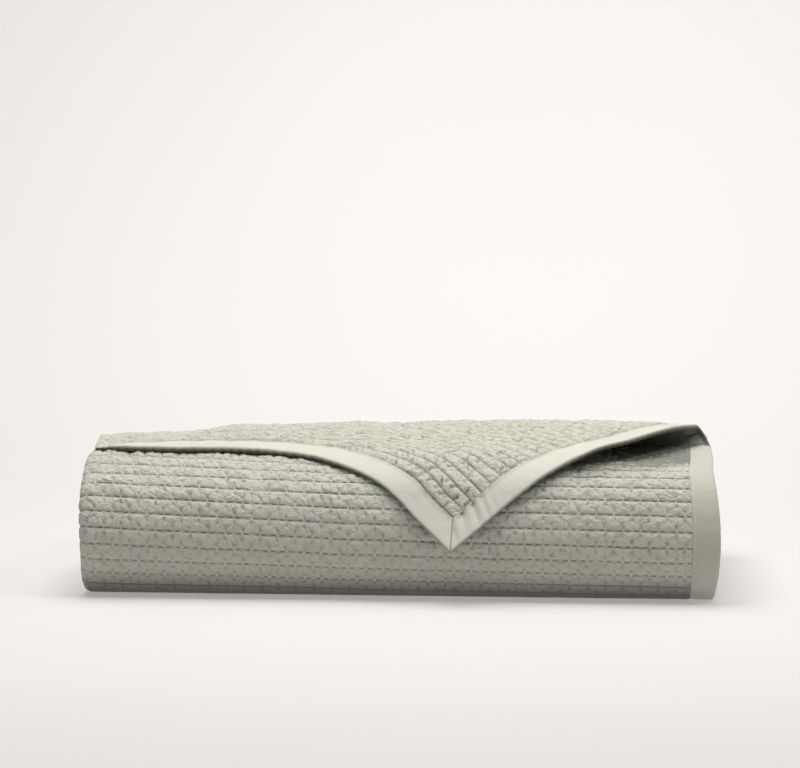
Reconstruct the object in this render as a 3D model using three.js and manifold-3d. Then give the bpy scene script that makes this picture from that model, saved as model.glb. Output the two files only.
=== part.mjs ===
import * as THREE from 'three';
import { mergeVertices } from 'three/addons/utils/BufferGeometryUtils.js';
import Module from 'manifold-3d';

// A quilt folded in quarters across its width and in six along its length,
// with the corner of its top ply turned back over the front.
// Sizes in millimetres. X runs along the long front, Y to the back, Z up.

// Driving sizes
const PLY = 4.6;
const AIR = 0.525;
const PITCH = PLY + AIR;
const STRIP = 4 * PITCH;
const HALF = (STRIP - AIR) / 2;
const WIDTH = 584;
const HEM = 25.4;
const HEM_PLY = 4.2;
const SEAM = 0.6;
const HEM_CUT = HEM - SEAM;
const SEAM_X = WIDTH - HEM;
const BACK_Y = 424;
const BACK_FOLD_Y = BACK_Y - 1.5 * STRIP - HALF;
const FRONT_FOLD_Y = 83;
const END_Y = 418;
const INNER_END_Y = 408;
const FOLD_STEPS = 8;
const TIGHT_STEPS = 8;

// Heights of the middle of the six layers of the four-ply strip
const LAYER = {
  bottom_outer: HALF,
  bottom_inner: HALF + STRIP,
  middle_inner: HALF + 2 * STRIP,
  middle_outer: HALF + 3 * STRIP,
  top_inner: HALF + 4 * STRIP,
  top_outer: HALF + 5 * STRIP,
};
const TOP = LAYER.top_outer + HALF;

// Front of the big outer fold, seen from the end. Columns: depth, height
const FRONT = [
  [112, TOP],
  [94, TOP],
  [76, TOP],
  [59, 121.2],
  [43, 117.1],
  [28.5, 110.2],
  [16.5, 100.4],
  [7.4, 87.3],
  [2.0, 73.0],
  [0, 57.5],
  [2.6, 41.8],
  [9.6, 27.4],
  [19.2, 15.5],
  [31, 6.5],
  [45, 1.5],
  [60, 0],
  [76, 0],
  [92, 0],
];
const FRONT_TOP = 2;
const FRONT_BOTTOM = 15;

// Sideways slip of each layer. Columns: layer name, shift to the right
const SLIP = {
  top_outer: 0,
  bottom_outer: 0,
  middle_outer: -3.5,
  middle_inner: -5,
  bottom_inner: -2.5,
  top_inner: -3,
};

// The turned-back corner, laid out on the unrolled outer surface.
// u runs from the left end, v forward from the start of the front curve.
// Both edges start at the tip. Columns: u, v, gap under the cloth.
const SIDE_EDGE = [
  [343, 132, 2],
  [358, 117, 2.5],
  [371, 104.5, 3.5],
  [386, 90, 5],
  [401, 76, 6.5],
  [417, 63, 7.5],
  [438, 46, 8.5],
  [458, 29, 10.5],
  [478, 9, 13.5],
  [499, -14, 16.5],
  [520, -46, 19.5],
  [538, -78, 20],
  [553, -106, 18.5],
  [569, -134, 15.5],
];
const END_EDGE = [
  [343, 132, 2],
  [324.7, 112, 2.2],
  [311, 97.4, 2.5],
  [293, 75.5, 2.5],
  [276, 59.5, 2.5],
  [248.5, 39, 2.5],
  [215, 19.5, 2.5],
  [174, 10, 2.5],
  [133, 7.5, 2.5],
  [93, 7.5, 2.5],
  [52, 5.5, 2.4],
  [27, 2.5, 2.2],
  [10, -3, 2],
];
const FOLD_LEFT = { u: -4, v: -150 };
const LEFT_STAY = 9;
// Gap under the cloth along the fold. Columns: share from the side, gap
const FOLD_GAP = [
  [0, 15.4],
  [0.15, 18.2],
  [0.35, 19.3],
  [0.55, 15.4],
  [0.75, 10],
  [0.9, 2.6],
  [1, 2.6],
];
const LEAVE_SLOPE = 54;

// Soft overall shape: the front lower at the left end, both ends higher behind
// it, the right end drawn in above, below and at the back, the left end let out
const LEFT_LOWER = 0.02;
const LEFT_RISE = 0.085;
const LEFT_RISE_FROM = 30;
const LEFT_RISE_OVER = 60;
const LEFT_SINK = 0.42;
const LEFT_SINK_FROM = 130;
const LEFT_SINK_OVER = 120;
const RIGHT_RISE = 0.055;
const RISE_FROM = 76;
const RISE_OVER = 170;
const LEFT_DRAW = -6;
const RIGHT_DRAW = 8;
const BACK_DRAW = 8;
const BACK_DRAW_FROM = 112;
const BACK_DRAW_OVER = 260;
const DRAW_MIDDLE = 58;

// Middle of the folded quilt, set on the origin
const CENTRE_X = 286.35;
const CENTRE_Y = 198.5;

const rad = (deg) => (deg * Math.PI) / 180;
const mix = (a, b, t) => a + (b - a) * t;
const clamp01 = (t) => Math.min(1, Math.max(0, t));
const ease = (t) => clamp01(t) ** 2 * (3 - 2 * clamp01(t));

// Smooth curve through the front table
function frontPoint(t) {
  const last = FRONT.length - 2;
  const k = Math.min(Math.max(Math.floor(t), 1), last - 1);
  const f = t - k;
  const out = [0, 0];
  for (let c = 0; c < 2; c += 1) {
    const a = FRONT[k - 1][c];
    const b = FRONT[k][c];
    const d = FRONT[k + 1][c];
    const e = FRONT[k + 2] ? FRONT[k + 2][c] : FRONT[k + 1][c];
    const m0 = (d - a) / 2;
    const m1 = (e - b) / 2;
    const f2 = f * f;
    const f3 = f2 * f;
    out[c] = (2 * f3 - 3 * f2 + 1) * b + (f3 - 2 * f2 + f) * m0
      + (3 * f2 - 2 * f3) * d + (f3 - f2) * m1;
  }
  return out;
}

// Front curve as a fine line with its length, from the top tangent down
function measureFront() {
  const steps = 40;
  const list = [];
  let run = 0;
  for (let i = 0; i <= (FRONT_BOTTOM - FRONT_TOP) * steps; i += 1) {
    const t = FRONT_TOP + i / steps;
    const p = frontPoint(t);
    if (i > 0) {
      run += Math.hypot(p[0] - list[i - 1].y, p[1] - list[i - 1].z);
    }
    list.push({ y: p[0], z: p[1], run });
  }
  for (let i = 0; i < list.length; i += 1) {
    const a = list[Math.max(0, i - 1)];
    const b = list[Math.min(list.length - 1, i + 1)];
    const dy = b.y - a.y;
    const dz = b.z - a.z;
    const len = Math.hypot(dy, dz);
    list[i].ny = dz / len;
    list[i].nz = -dy / len;
  }
  return list;
}
const CURVE = measureFront();
const CURVE_LENGTH = CURVE[CURVE.length - 1].run;

// Point and outward direction on the outer surface at v
function onSurface(v) {
  if (v <= 0) {
    return { y: CURVE[0].y - v, z: TOP, ny: 0, nz: 1 };
  }
  const want = Math.min(v, CURVE_LENGTH - 0.001);
  let k = 1;
  while (CURVE[k].run < want) {
    k += 1;
  }
  const a = CURVE[k - 1];
  const b = CURVE[k];
  const f = (want - a.run) / (b.run - a.run);
  const ny = mix(a.ny, b.ny, f);
  const nz = mix(a.nz, b.nz, f);
  const len = Math.hypot(ny, nz);
  return { y: mix(a.y, b.y, f), z: mix(a.z, b.z, f), ny: ny / len, nz: nz / len };
}

// Path of the strip: stations with position, direction to the outer ply, slip
function stripPath() {
  const path = [];
  const add = (y, z, ny, nz, slip) => path.push({ y, z, ny, nz, slip });
  const flat = (layer, nz, list) => {
    for (const y of list) {
      add(y, LAYER[layer], 0, nz, SLIP[layer]);
    }
  };
  const turn = (y0, z0, r, from, to, steps, side, slipA, slipB) => {
    for (let i = 1; i < steps; i += 1) {
      const a = rad(mix(from, to, i / steps));
      const c = Math.cos(a);
      const s = Math.sin(a);
      add(y0 + r * c, z0 + r * s, side * c, side * s, mix(slipA, slipB, i / steps));
    }
  };
  const midTop = (LAYER.bottom_outer + LAYER.top_outer) / 2;
  const midBack = (LAYER.bottom_outer + LAYER.middle_outer) / 2;
  const big = (LAYER.top_inner - LAYER.bottom_inner) / 2;
  const small = STRIP / 2;

  flat('top_outer', 1, [END_Y, END_Y - HEM, 250, 200, 150, 112]);
  const steps = 17;
  for (let i = 0; i <= steps; i += 1) {
    const s = onSurface((CURVE_LENGTH * i) / steps);
    add(s.y - s.ny * HALF, s.z - s.nz * HALF, s.ny, s.nz, 0);
  }
  flat('bottom_outer', -1, [150, 250, BACK_FOLD_Y]);
  turn(BACK_FOLD_Y, midBack, big, -90, 90, FOLD_STEPS, 1, SLIP.bottom_outer, SLIP.middle_outer);
  flat('middle_outer', 1, [BACK_FOLD_Y, 250, 200, 150, 112, FRONT_FOLD_Y]);
  turn(FRONT_FOLD_Y, midTop, small, 90, 270, TIGHT_STEPS, 1, SLIP.middle_outer, SLIP.middle_inner);
  flat('middle_inner', -1, [FRONT_FOLD_Y, 112, 150, 200, 250, BACK_FOLD_Y]);
  turn(BACK_FOLD_Y, midBack, small, 90, -90, TIGHT_STEPS, -1, SLIP.middle_inner, SLIP.bottom_inner);
  flat('bottom_inner', 1, [BACK_FOLD_Y, 250, 200, 150, 112, FRONT_FOLD_Y]);
  turn(FRONT_FOLD_Y, midTop, big, -90, -270, FOLD_STEPS, -1, SLIP.bottom_inner, SLIP.top_inner);
  flat('top_inner', -1, [FRONT_FOLD_Y, 112, 150, 200, 250, INNER_END_Y - HEM, INNER_END_Y]);
  return path;
}

// Arc of a fold in the section across the width
function arc(x, n, r, from, to, steps) {
  const out = [];
  for (let i = 0; i <= steps; i += 1) {
    const a = rad(mix(from, to, i / steps));
    out.push([x + r * Math.cos(a), n + r * Math.sin(a)]);
  }
  return out;
}

// Section of the strip across its width: four plies folded in quarters.
// Columns of each point: x, height over the middle of the strip.
function quarterSection(outerEdge, innerEdge) {
  const left = HALF;
  const right = WIDTH - PITCH - 3;
  const out = [];
  out.push([outerEdge, HALF]);
  out.push(...arc(left, 0, HALF, 90, 270, 6));
  out.push(...arc(right, -PITCH, PITCH - AIR / 2, -90, 90, 3));
  out.push([left, -AIR / 2]);
  out.push([left, AIR / 2]);
  out.push([innerEdge, AIR / 2]);
  out.push([innerEdge, PITCH - AIR / 2]);
  out.push(...arc(left, 0, PITCH - AIR / 2, 90, 270, 3));
  out.push([right, -PITCH + AIR / 2]);
  out.push([right, -PITCH - AIR / 2]);
  out.push(...arc(left, 0, PITCH + AIR / 2, 270, 90, 3));
  out.push([outerEdge, PITCH + AIR / 2]);
  return out;
}

// Section of a binding: flat strip with a rounded outer edge.
// Columns of each point: x, height over the middle of the strip.
function bindingSection(from, to, middle) {
  const r = HEM_PLY / 2;
  const out = [[from, middle + r], [to - r, middle + r]];
  out.push([to - r * 0.3, middle + r * 0.7]);
  out.push([to, middle]);
  out.push([to - r * 0.3, middle - r * 0.7]);
  out.push([to - r, middle - r], [from, middle - r]);
  return out;
}

// End faces of a flat section, of any outline
function flatEnd(loop) {
  const contour = loop.map((p) => new THREE.Vector2(p[0], p[1]));
  const way = Math.sign(THREE.ShapeUtils.area(contour));
  return THREE.ShapeUtils.triangulateShape(contour, []).map(([a, b, c]) => {
    const same = Math.sign(THREE.ShapeUtils.area([contour[a], contour[b], contour[c]])) === way;
    return same ? [a, b, c] : [a, c, b];
  });
}

// End faces of a sheet section: an upper row, a rounded edge, a lower row
function sheetEnd(loop, row) {
  const n = loop.length;
  const faces = [];
  for (let i = 0; i < row - 1; i += 1) {
    faces.push([i, i + 1, n - 2 - i], [i, n - 2 - i, n - 1 - i]);
  }
  for (let i = row; i < n - row; i += 1) {
    faces.push([row - 1, i, i + 1]);
  }
  return faces;
}

// Closed solid from a loop of points moved through stations
function sweep(loop, stations, at, row) {
  const n = loop.length;
  const positions = [];
  for (let j = 0; j < stations; j += 1) {
    for (let i = 0; i < n; i += 1) {
      const p = at(loop[i], j, i);
      positions.push(p[0], p[1], p[2]);
    }
  }
  const index = [];
  for (let j = 0; j < stations - 1; j += 1) {
    for (let i = 0; i < n; i += 1) {
      const k = (i + 1) % n;
      const a = j * n + i;
      const b = j * n + k;
      const c = (j + 1) * n + k;
      const d = (j + 1) * n + i;
      index.push(a, b, c, a, c, d);
    }
  }
  const last = (stations - 1) * n;
  for (const [a, b, c] of row ? sheetEnd(loop, row) : flatEnd(loop)) {
    index.push(a, c, b, last + a, last + b, last + c);
  }
  const geometry = new THREE.BufferGeometry();
  geometry.setAttribute('position', new THREE.Float32BufferAttribute(positions, 3));
  geometry.setIndex(index);
  return outward(geometry);
}

// Turn a closed mesh so that its faces point out
function outward(geometry) {
  const p = geometry.attributes.position;
  const idx = geometry.index.array;
  let volume = 0;
  for (let i = 0; i < idx.length; i += 3) {
    const [a, b, c] = [idx[i], idx[i + 1], idx[i + 2]];
    volume += p.getX(a) * (p.getY(b) * p.getZ(c) - p.getZ(b) * p.getY(c))
      + p.getY(a) * (p.getZ(b) * p.getX(c) - p.getX(b) * p.getZ(c))
      + p.getZ(a) * (p.getX(b) * p.getY(c) - p.getY(b) * p.getX(c));
  }
  if (volume < 0) {
    for (let i = 0; i < idx.length; i += 3) {
      const keep = idx[i];
      idx[i] = idx[i + 1];
      idx[i + 1] = keep;
    }
  }
  return geometry;
}

// Solid that follows the strip path between two stations
function alongPath(path, section, from, to) {
  return sweep(section, to - from + 1, (q, j) => {
    const s = path[from + j];
    return [q[0] + s.slip, s.y + s.ny * q[1], s.z + s.nz * q[1]];
  });
}

// Smooth line through a table of points, with its length
function edgeLine(table) {
  const list = [];
  let run = 0;
  const at = (k, c) => table[Math.min(table.length - 1, Math.max(0, k))][c];
  for (let k = 0; k < table.length - 1; k += 1) {
    for (let i = k === 0 ? 0 : 1; i <= 12; i += 1) {
      const f = i / 12;
      const p = [0, 1, 2].map((c) => {
        const m0 = (at(k + 1, c) - at(k - 1, c)) / 2;
        const m1 = (at(k + 2, c) - at(k, c)) / 2;
        return (2 * f ** 3 - 3 * f ** 2 + 1) * at(k, c) + (f ** 3 - 2 * f ** 2 + f) * m0
          + (3 * f ** 2 - 2 * f ** 3) * at(k + 1, c) + (f ** 3 - f ** 2) * m1;
      });
      if (list.length > 0) {
        const before = list[list.length - 1];
        run += Math.hypot(p[0] - before.u, p[1] - before.v);
      }
      list.push({ u: p[0], v: p[1], gap: p[2], run });
    }
  }
  return list;
}

// Place on such a line at a given length, kept straight past its ends
function along(line, want) {
  let k = 1;
  while (k < line.length - 1 && line[k].run < want) {
    k += 1;
  }
  const a = line[k - 1];
  const b = line[k];
  const f = (want - a.run) / (b.run - a.run);
  return { u: mix(a.u, b.u, f), v: mix(a.v, b.v, f), gap: mix(a.gap, b.gap, f) };
}

const SIDE = edgeLine(SIDE_EDGE);
const END = edgeLine(END_EDGE);
const SIDE_LENGTH = SIDE[SIDE.length - 1].run;
const END_LENGTH = END[END.length - 1].run;
const TIP = SIDE[0];
const FOLD_RIGHT = SIDE[SIDE.length - 1];
const foldRun = Math.hypot(FOLD_RIGHT.u - FOLD_LEFT.u, FOLD_RIGHT.v - FOLD_LEFT.v);
const ALONG = {
  u: (FOLD_RIGHT.u - FOLD_LEFT.u) / foldRun,
  v: (FOLD_RIGHT.v - FOLD_LEFT.v) / foldRun,
};
const BEHIND = { u: ALONG.v, v: -ALONG.u };

// u and v at p along the end edge and q along the side edge, from the tip
function fromTip(p, q) {
  const e = along(END, p);
  const s = along(SIDE, q);
  return { u: e.u + s.u - TIP.u, v: e.v + s.v - TIP.v };
}

// q at which the column p meets the fold
function foldAt(p) {
  let low = -200;
  let high = SIDE_LENGTH + 200;
  for (let i = 0; i < 40; i += 1) {
    const q = (low + high) / 2;
    const a = fromTip(p, q);
    const side = (a.u - FOLD_LEFT.u) * BEHIND.u + (a.v - FOLD_LEFT.v) * BEHIND.v;
    if (side < 0) {
      low = q;
    } else {
      high = q;
    }
  }
  return (low + high) / 2;
}

// p of the column that ends at the left corner of the fold
function leftColumn() {
  let low = 0;
  let high = END_LENGTH + 300;
  for (let i = 0; i < 40; i += 1) {
    const p = (low + high) / 2;
    if (fromTip(p, foldAt(p)).u > FOLD_LEFT.u) {
      low = p;
    } else {
      high = p;
    }
  }
  return (low + high) / 2;
}
const LEFT_COLUMN = leftColumn();

// Gap under the flap at the fold, by share from the side edge
function foldGap(share) {
  let k = 1;
  while (k < FOLD_GAP.length - 1 && FOLD_GAP[k][0] < share) {
    k += 1;
  }
  const [a, b] = [FOLD_GAP[k - 1], FOLD_GAP[k]];
  return mix(a[1], b[1], ease((share - a[0]) / (b[0] - a[0])));
}

// Gap between the outer surface and the underside of the flap.
// share runs from the side edge to the left, t from the end edge to the fold.
function gapAt(share, t) {
  const edge = along(SIDE, t * SIDE_LENGTH).gap;
  const plain = mix(TIP.gap, FOLD_GAP[0][1], t);
  const hem = along(END, share * END_LENGTH).gap;
  const left = ease(share / 0.5);
  const rise = mix(t, Math.sin((t * Math.PI) / 2), left);
  const body = mix(hem, foldGap(share), rise);
  const stand = (edge - plain) * (1 - left);
  const low = ease((1.005 - share) / 0.06);
  return mix(0.8, body + stand, low);
}

// Surface that carries the flap: it leaves the roll where that gets steep
const LEAVE = CURVE.find((c) => Math.atan2(-c.ny, c.nz) >= rad(LEAVE_SLOPE));
function underFlap(v) {
  if (v <= LEAVE.run) {
    return onSurface(v);
  }
  const d = v - LEAVE.run;
  return { y: LEAVE.y - LEAVE.nz * d, z: LEAVE.z + LEAVE.ny * d, ny: LEAVE.ny, nz: LEAVE.nz };
}

// Place on the flap: n is the height over the middle of the ply
function onFlap(u, v, share, t, n) {
  const s = underFlap(v);
  const h = gapAt(share, t) + PLY / 2 + n;
  return [u, s.y + s.ny * h, s.z + s.nz * h];
}

// Place on the turn behind the flap. step 0 is the flap side, 1 the flat side.
function onTurn(u, v, share, p, step, n, ahead) {
  const r = (gapAt(share, 1) + PLY) / 2;
  const a = Math.PI * (1 - step);
  const square = (WIDTH - p - u) / ALONG.u;
  const slide = step * mix(square, r, clamp01((p - 2 * HEM) / (8 * HEM)));
  const out = (r + n) * Math.sin(a);
  const uu = u + ALONG.u * slide + BEHIND.u * out;
  const vv = v + ALONG.v * slide + BEHIND.v * out + ahead;
  const s = onSurface(vv);
  return [uu, s.y, s.z - PLY / 2 + r - (r + n) * Math.cos(a)];
}

const TURN_STEPS = 6;
const EMBED = 9;
const FLAP_STEPS = 10;
const FLAP_SHARES = [
  0, 0.05, 0.1, 0.15, 0.2, 0.25, 0.31, 0.37, 0.44, 0.52, 0.61, 0.7, 0.79,
  0.87, 0.93, 0.97, 0.994,
];

// Stations of a flap piece: over the flap, round the turn, into the flat ply.
// p at the end edge and at the fold, q at the start, share to the left.
function flapAt(pEdge, pFold, q0, share, station, n) {
  const t = Math.min(1, station / FLAP_STEPS) ** 1.25;
  const qf = foldAt(pFold);
  const p = mix(pEdge, pFold, t);
  const q = mix(q0, qf, t);
  const at = fromTip(p, q);
  if (station < FLAP_STEPS) {
    return onFlap(at.u, at.v, share, clamp01(q / qf), n);
  }
  if (station <= FLAP_STEPS + TURN_STEPS) {
    return onTurn(at.u, at.v, share, p, (station - FLAP_STEPS) / TURN_STEPS, n, 0);
  }
  return onTurn(at.u, at.v, share, p, 1, n * 0.9, EMBED);
}

// Loop across the flap: upper face, rounded left edge, lower face.
// Columns of each point: share of the way to the left, height.
function flapLoop(shares, half) {
  const out = shares.map((s) => [s, half]);
  const end = shares[shares.length - 1];
  out.push([end + 0.0045, half * 0.6], [end + 0.006, -half * 0.2]);
  for (let i = shares.length - 1; i >= 0; i -= 1) {
    out.push([shares[i], -half]);
  }
  return out;
}

function flapCloth() {
  const loop = flapLoop(FLAP_SHARES, PLY / 2);
  return sweep(loop, FLAP_STEPS + TURN_STEPS + 2, (q, j) => {
    const pEdge = mix(HEM, END_LENGTH, q[0]);
    const pFold = mix(HEM, LEFT_COLUMN, q[0]);
    return flapAt(pEdge, pFold, HEM, q[0], j, q[1]);
  }, FLAP_SHARES.length);
}

// Side binding of the flap, from the mitre at the tip to the turn
function flapSideBinding() {
  const section = bindingSection(0, HEM_CUT, 0).map((q) => [HEM_CUT - q[0], q[1]]);
  return sweep(section, FLAP_STEPS + TURN_STEPS + 2, (q, j) => {
    return flapAt(q[0], q[0], q[0] + SEAM * 0.75, 0, j, q[1]);
  }, 2);
}

// End binding of the flap, from the mitre to the left end
function flapEndBinding() {
  const section = bindingSection(0, HEM_CUT, 0).map((q) => [HEM_CUT - q[0], q[1]]);
  return sweep(section, FLAP_SHARES.length, (q, j) => {
    const share = FLAP_SHARES[j];
    const p = mix(q[0] + SEAM * 0.75, END_LENGTH, share);
    const at = fromTip(p, q[0]);
    return onFlap(at.u, at.v, share, clamp01(q[0] / foldAt(p)), q[1]);
  }, 2);
}

// Space behind the fold, where the outer ply is lifted away
function behindFold() {
  const low = TOP - PITCH + AIR / 2;
  const reach = 60;
  const y = (v) => FRONT[FRONT_TOP][0] - v;
  const a = { u: FOLD_RIGHT.u + ALONG.u * reach, v: FOLD_RIGHT.v + ALONG.v * reach };
  const slope = ALONG.v / ALONG.u;
  const corners = [
    [LEFT_STAY, y(FOLD_LEFT.v + (LEFT_STAY - FOLD_LEFT.u) * slope)],
    [a.u, y(a.v)],
    [a.u, BACK_Y + 20],
    [LEFT_STAY, BACK_Y + 20],
  ];
  return sweep(corners, 2, (q, j) => [q[0], q[1], j === 0 ? low : TOP + 5]);
}

// Overall shape, applied to every piece after it is joined
function settle(x, y, z) {
  const t = x / WIDTH;
  const off = ((z - DRAW_MIDDLE) / (TOP / 2)) ** 2;
  const back = BACK_DRAW * ease((y - BACK_DRAW_FROM) / BACK_DRAW_OVER);
  const xx = x + LEFT_DRAW * off * (1 - t) - RIGHT_DRAW * off * clamp01(t) ** 20
    - back * clamp01(t) ** 4;
  const swell = ease((y - LEFT_RISE_FROM) / LEFT_RISE_OVER)
    - LEFT_SINK * ease((y - LEFT_SINK_FROM) / LEFT_SINK_OVER);
  const rise = 1 - LEFT_LOWER * (1 - t) + RIGHT_RISE * t * ease((y - RISE_FROM) / RISE_OVER)
    + LEFT_RISE * (1 - ease((t - 0.2) / 0.4)) * swell;
  return [xx - CENTRE_X, y - CENTRE_Y, z * rise];
}

function toManifold(wasm, geometry) {
  const plain = new THREE.BufferGeometry();
  plain.setAttribute('position', geometry.attributes.position.clone());
  plain.setIndex(geometry.index.clone());
  const merged = mergeVertices(plain, 1e-4);
  return new wasm.Manifold(new wasm.Mesh({
    numProp: 3,
    vertProperties: merged.attributes.position.array,
    triVerts: new Uint32Array(merged.index.array),
  }));
}

function fromManifold(solid) {
  const mesh = solid.getMesh();
  const geometry = new THREE.BufferGeometry();
  const data = new Float32Array(mesh.vertProperties);
  geometry.setAttribute('position', new THREE.BufferAttribute(data, 3));
  geometry.setIndex(new THREE.BufferAttribute(new Uint32Array(mesh.triVerts), 1));
  return geometry;
}

function finished(name, geometry, material) {
  const p = geometry.attributes.position;
  for (let i = 0; i < p.count; i += 1) {
    const [x, y, z] = settle(p.getX(i), p.getY(i), p.getZ(i));
    p.setXYZ(i, x, y, z);
  }
  geometry.computeVertexNormals();
  const mesh = new THREE.Mesh(geometry, material);
  mesh.name = name;
  return mesh;
}

const wasm = await Module();
wasm.setup();

const path = stripPath();
const last = path.length - 1;
const clothColour = new THREE.MeshStandardMaterial({ color: 0xb9bba9, roughness: 0.95 });
const bindingColour = new THREE.MeshStandardMaterial({ color: 0xc3c5b4, roughness: 0.8 });

const away = toManifold(wasm, behindFold());
const stack = toManifold(wasm, alongPath(path, quarterSection(SEAM_X, SEAM_X), 1, last - 1));
const cloth = stack.subtract(away).add(toManifold(wasm, flapCloth()));

const outerRow = bindingSection(SEAM_X + SEAM, WIDTH, PITCH * 1.5);
const outerSide = toManifold(wasm, alongPath(path, outerRow, 1, last)).subtract(away);
const outerBinding = outerSide.add(toManifold(wasm, flapSideBinding()));
const innerRow = bindingSection(SEAM_X + SEAM, WIDTH - 1.5, PITCH * 0.5);

const topEnd = path.slice(0, 2).map((s) => ({ ...s }));
topEnd[1].y += SEAM;
const innerEnd = path.slice(last - 1).map((s) => ({ ...s }));
innerEnd[0].y += SEAM;

const quilt = new THREE.Group();
quilt.name = 'folded_quilt';
quilt.add(finished('quilt_cloth', fromManifold(cloth), clothColour.clone()));
quilt.add(finished('outer_side_binding', fromManifold(outerBinding), bindingColour.clone()));
quilt.add(finished('inner_side_binding', alongPath(path, innerRow, 0, last), bindingColour.clone()));
quilt.add(finished('flap_end_binding', flapEndBinding(), bindingColour.clone()));
quilt.add(finished(
  'top_end_binding',
  alongPath(topEnd, quarterSection(HALF + 1, SEAM_X), 0, 1),
  bindingColour.clone(),
));
quilt.add(finished(
  'inside_end_binding',
  alongPath(innerEnd, quarterSection(SEAM_X, SEAM_X), 0, 1),
  bindingColour.clone(),
));

export default quilt;
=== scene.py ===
import math

import bmesh
import bpy
import numpy as np
from mathutils import Matrix, Vector
from mathutils.geometry import tessellate_polygon


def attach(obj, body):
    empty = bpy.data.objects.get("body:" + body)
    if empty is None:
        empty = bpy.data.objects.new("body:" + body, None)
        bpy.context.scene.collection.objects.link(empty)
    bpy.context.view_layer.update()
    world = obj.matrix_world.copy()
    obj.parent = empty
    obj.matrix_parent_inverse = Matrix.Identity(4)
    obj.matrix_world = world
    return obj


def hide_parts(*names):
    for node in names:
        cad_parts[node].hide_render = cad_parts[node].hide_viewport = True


# A quilt folded in quarters across its width and in six along its length, with
# the corner of its top ply turned back over the front. Lengths in millimetres
# until a mesh is made, then metres.

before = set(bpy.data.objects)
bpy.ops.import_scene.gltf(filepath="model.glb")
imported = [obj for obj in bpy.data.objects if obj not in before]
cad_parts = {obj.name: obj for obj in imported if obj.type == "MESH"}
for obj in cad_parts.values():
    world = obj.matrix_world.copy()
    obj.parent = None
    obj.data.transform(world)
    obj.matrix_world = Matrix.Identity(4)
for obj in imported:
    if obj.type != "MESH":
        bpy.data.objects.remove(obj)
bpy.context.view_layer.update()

# Sizes of the folded cloth
PLY = 4.6
AIR = 0.525
PITCH = PLY + AIR
STRIP = 4 * PITCH
HALF = (STRIP - AIR) / 2
WIDTH = 584.0
HEM = 25.4
HEM_PLY = 4.2
SEAM_X = WIDTH - HEM
BACK_Y = 424.0
BACK_FOLD_Y = BACK_Y - 1.5 * STRIP - HALF
FRONT_FOLD_Y = 83.0
END_Y = 418.0
INNER_END_Y = 408.0
CENTRE_X = 286.35
CENTRE_Y = 198.5

# Layers of the four-ply strip from the bottom up, and how far each has slipped
LAYER_NAMES = (
    "bottom_outer", "bottom_inner", "middle_inner", "middle_outer", "top_inner", "top_outer",
)
LAYER = {name: HALF + k * STRIP for k, name in enumerate(LAYER_NAMES)}
SLIP = dict(zip(LAYER_NAMES, (0.0, -2.5, -5.0, -3.5, -3.0, 0.0)))
TOP = LAYER["top_outer"] + HALF
BIG_TURN, SMALL_TURN = 1.5 * STRIP, STRIP / 2
MID_TOP = (LAYER["bottom_outer"] + LAYER["top_outer"]) / 2
MID_BACK = (LAYER["bottom_outer"] + LAYER["middle_outer"]) / 2

# Front of the big outer fold. Columns: depth, height
FRONT = np.array([
    [112, TOP], [94, TOP], [76, TOP], [59, 121.2], [43, 117.1], [28.5, 110.2],
    [16.5, 100.4], [7.4, 87.3], [2.0, 73.0], [0, 57.5], [2.6, 41.8],
    [9.6, 27.4], [19.2, 15.5], [31, 6.5], [45, 1.5], [60, 0], [76, 0], [92, 0],
])
FRONT_TOP = 2
FRONT_BOTTOM = 15
FRONT_STEPS = 40
FLAT_Y = 76.0

# Edges of the turned-back corner on the unrolled outer surface, from its tip.
# Columns: u from the left end, v forward, gap under the cloth
SIDE_EDGE = np.array([
    [343, 132, 2], [358, 117, 2.5], [371, 104.5, 3.5], [386, 90, 5],
    [401, 76, 6.5], [417, 63, 7.5], [438, 46, 8.5], [458, 29, 10.5],
    [478, 9, 13.5], [499, -14, 16.5], [520, -46, 19.5], [538, -78, 20],
    [553, -106, 18.5], [569, -134, 15.5],
])
END_EDGE = np.array([
    [343, 132, 2], [324.7, 112, 2.2], [311, 97.4, 2.5], [293, 75.5, 2.5],
    [276, 59.5, 2.5], [248.5, 39, 2.5], [215, 19.5, 2.5], [174, 10, 2.5],
    [133, 7.5, 2.5], [93, 7.5, 2.5], [52, 5.5, 2.4], [27, 2.5, 2.2], [10, -3, 2],
])
FOLD_LEFT = np.array([-4.0, -150.0])
LEFT_STAY = 9.0
# Gap under the cloth along the fold. Columns: share from the side edge, gap
FOLD_GAP = np.array([
    [0, 15.4], [0.15, 18.2], [0.35, 19.3], [0.55, 15.4], [0.75, 10], [0.9, 2.6], [1, 2.6],
])
LEFT_GAP = 0.8
LEAVE_SLOPE = 54.0

# Overall settling of the stack
LEFT_LOWER = 0.02
LEFT_RISE, LEFT_RISE_FROM, LEFT_RISE_OVER = 0.085, 30.0, 60.0
LEFT_SINK, LEFT_SINK_FROM, LEFT_SINK_OVER = 0.42, 130.0, 120.0
LEFT_END, LEFT_END_OVER = 0.2, 0.4
RIGHT_RISE, RISE_FROM, RISE_OVER = 0.055, 76.0, 170.0
LEFT_DRAW, RIGHT_DRAW, DRAW_MIDDLE = -6.0, 8.0, 58.0
BACK_DRAW, BACK_DRAW_FROM, BACK_DRAW_OVER = 8.0, 112.0, 260.0
CORNER_SAG, SAG_FROM_Y, SAG_OVER_Y = 5.5, 290.0, 100.0
SAG_TO_X, SAG_OVER_X = 80.0, 55.0

# Pitch of the quilting rows and columns, on the faces and on the corner
ROW = 14.5
COLUMN = 8.0
CORNER_ROW = 11.7
CORNER_COLUMN = 9.0

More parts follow.
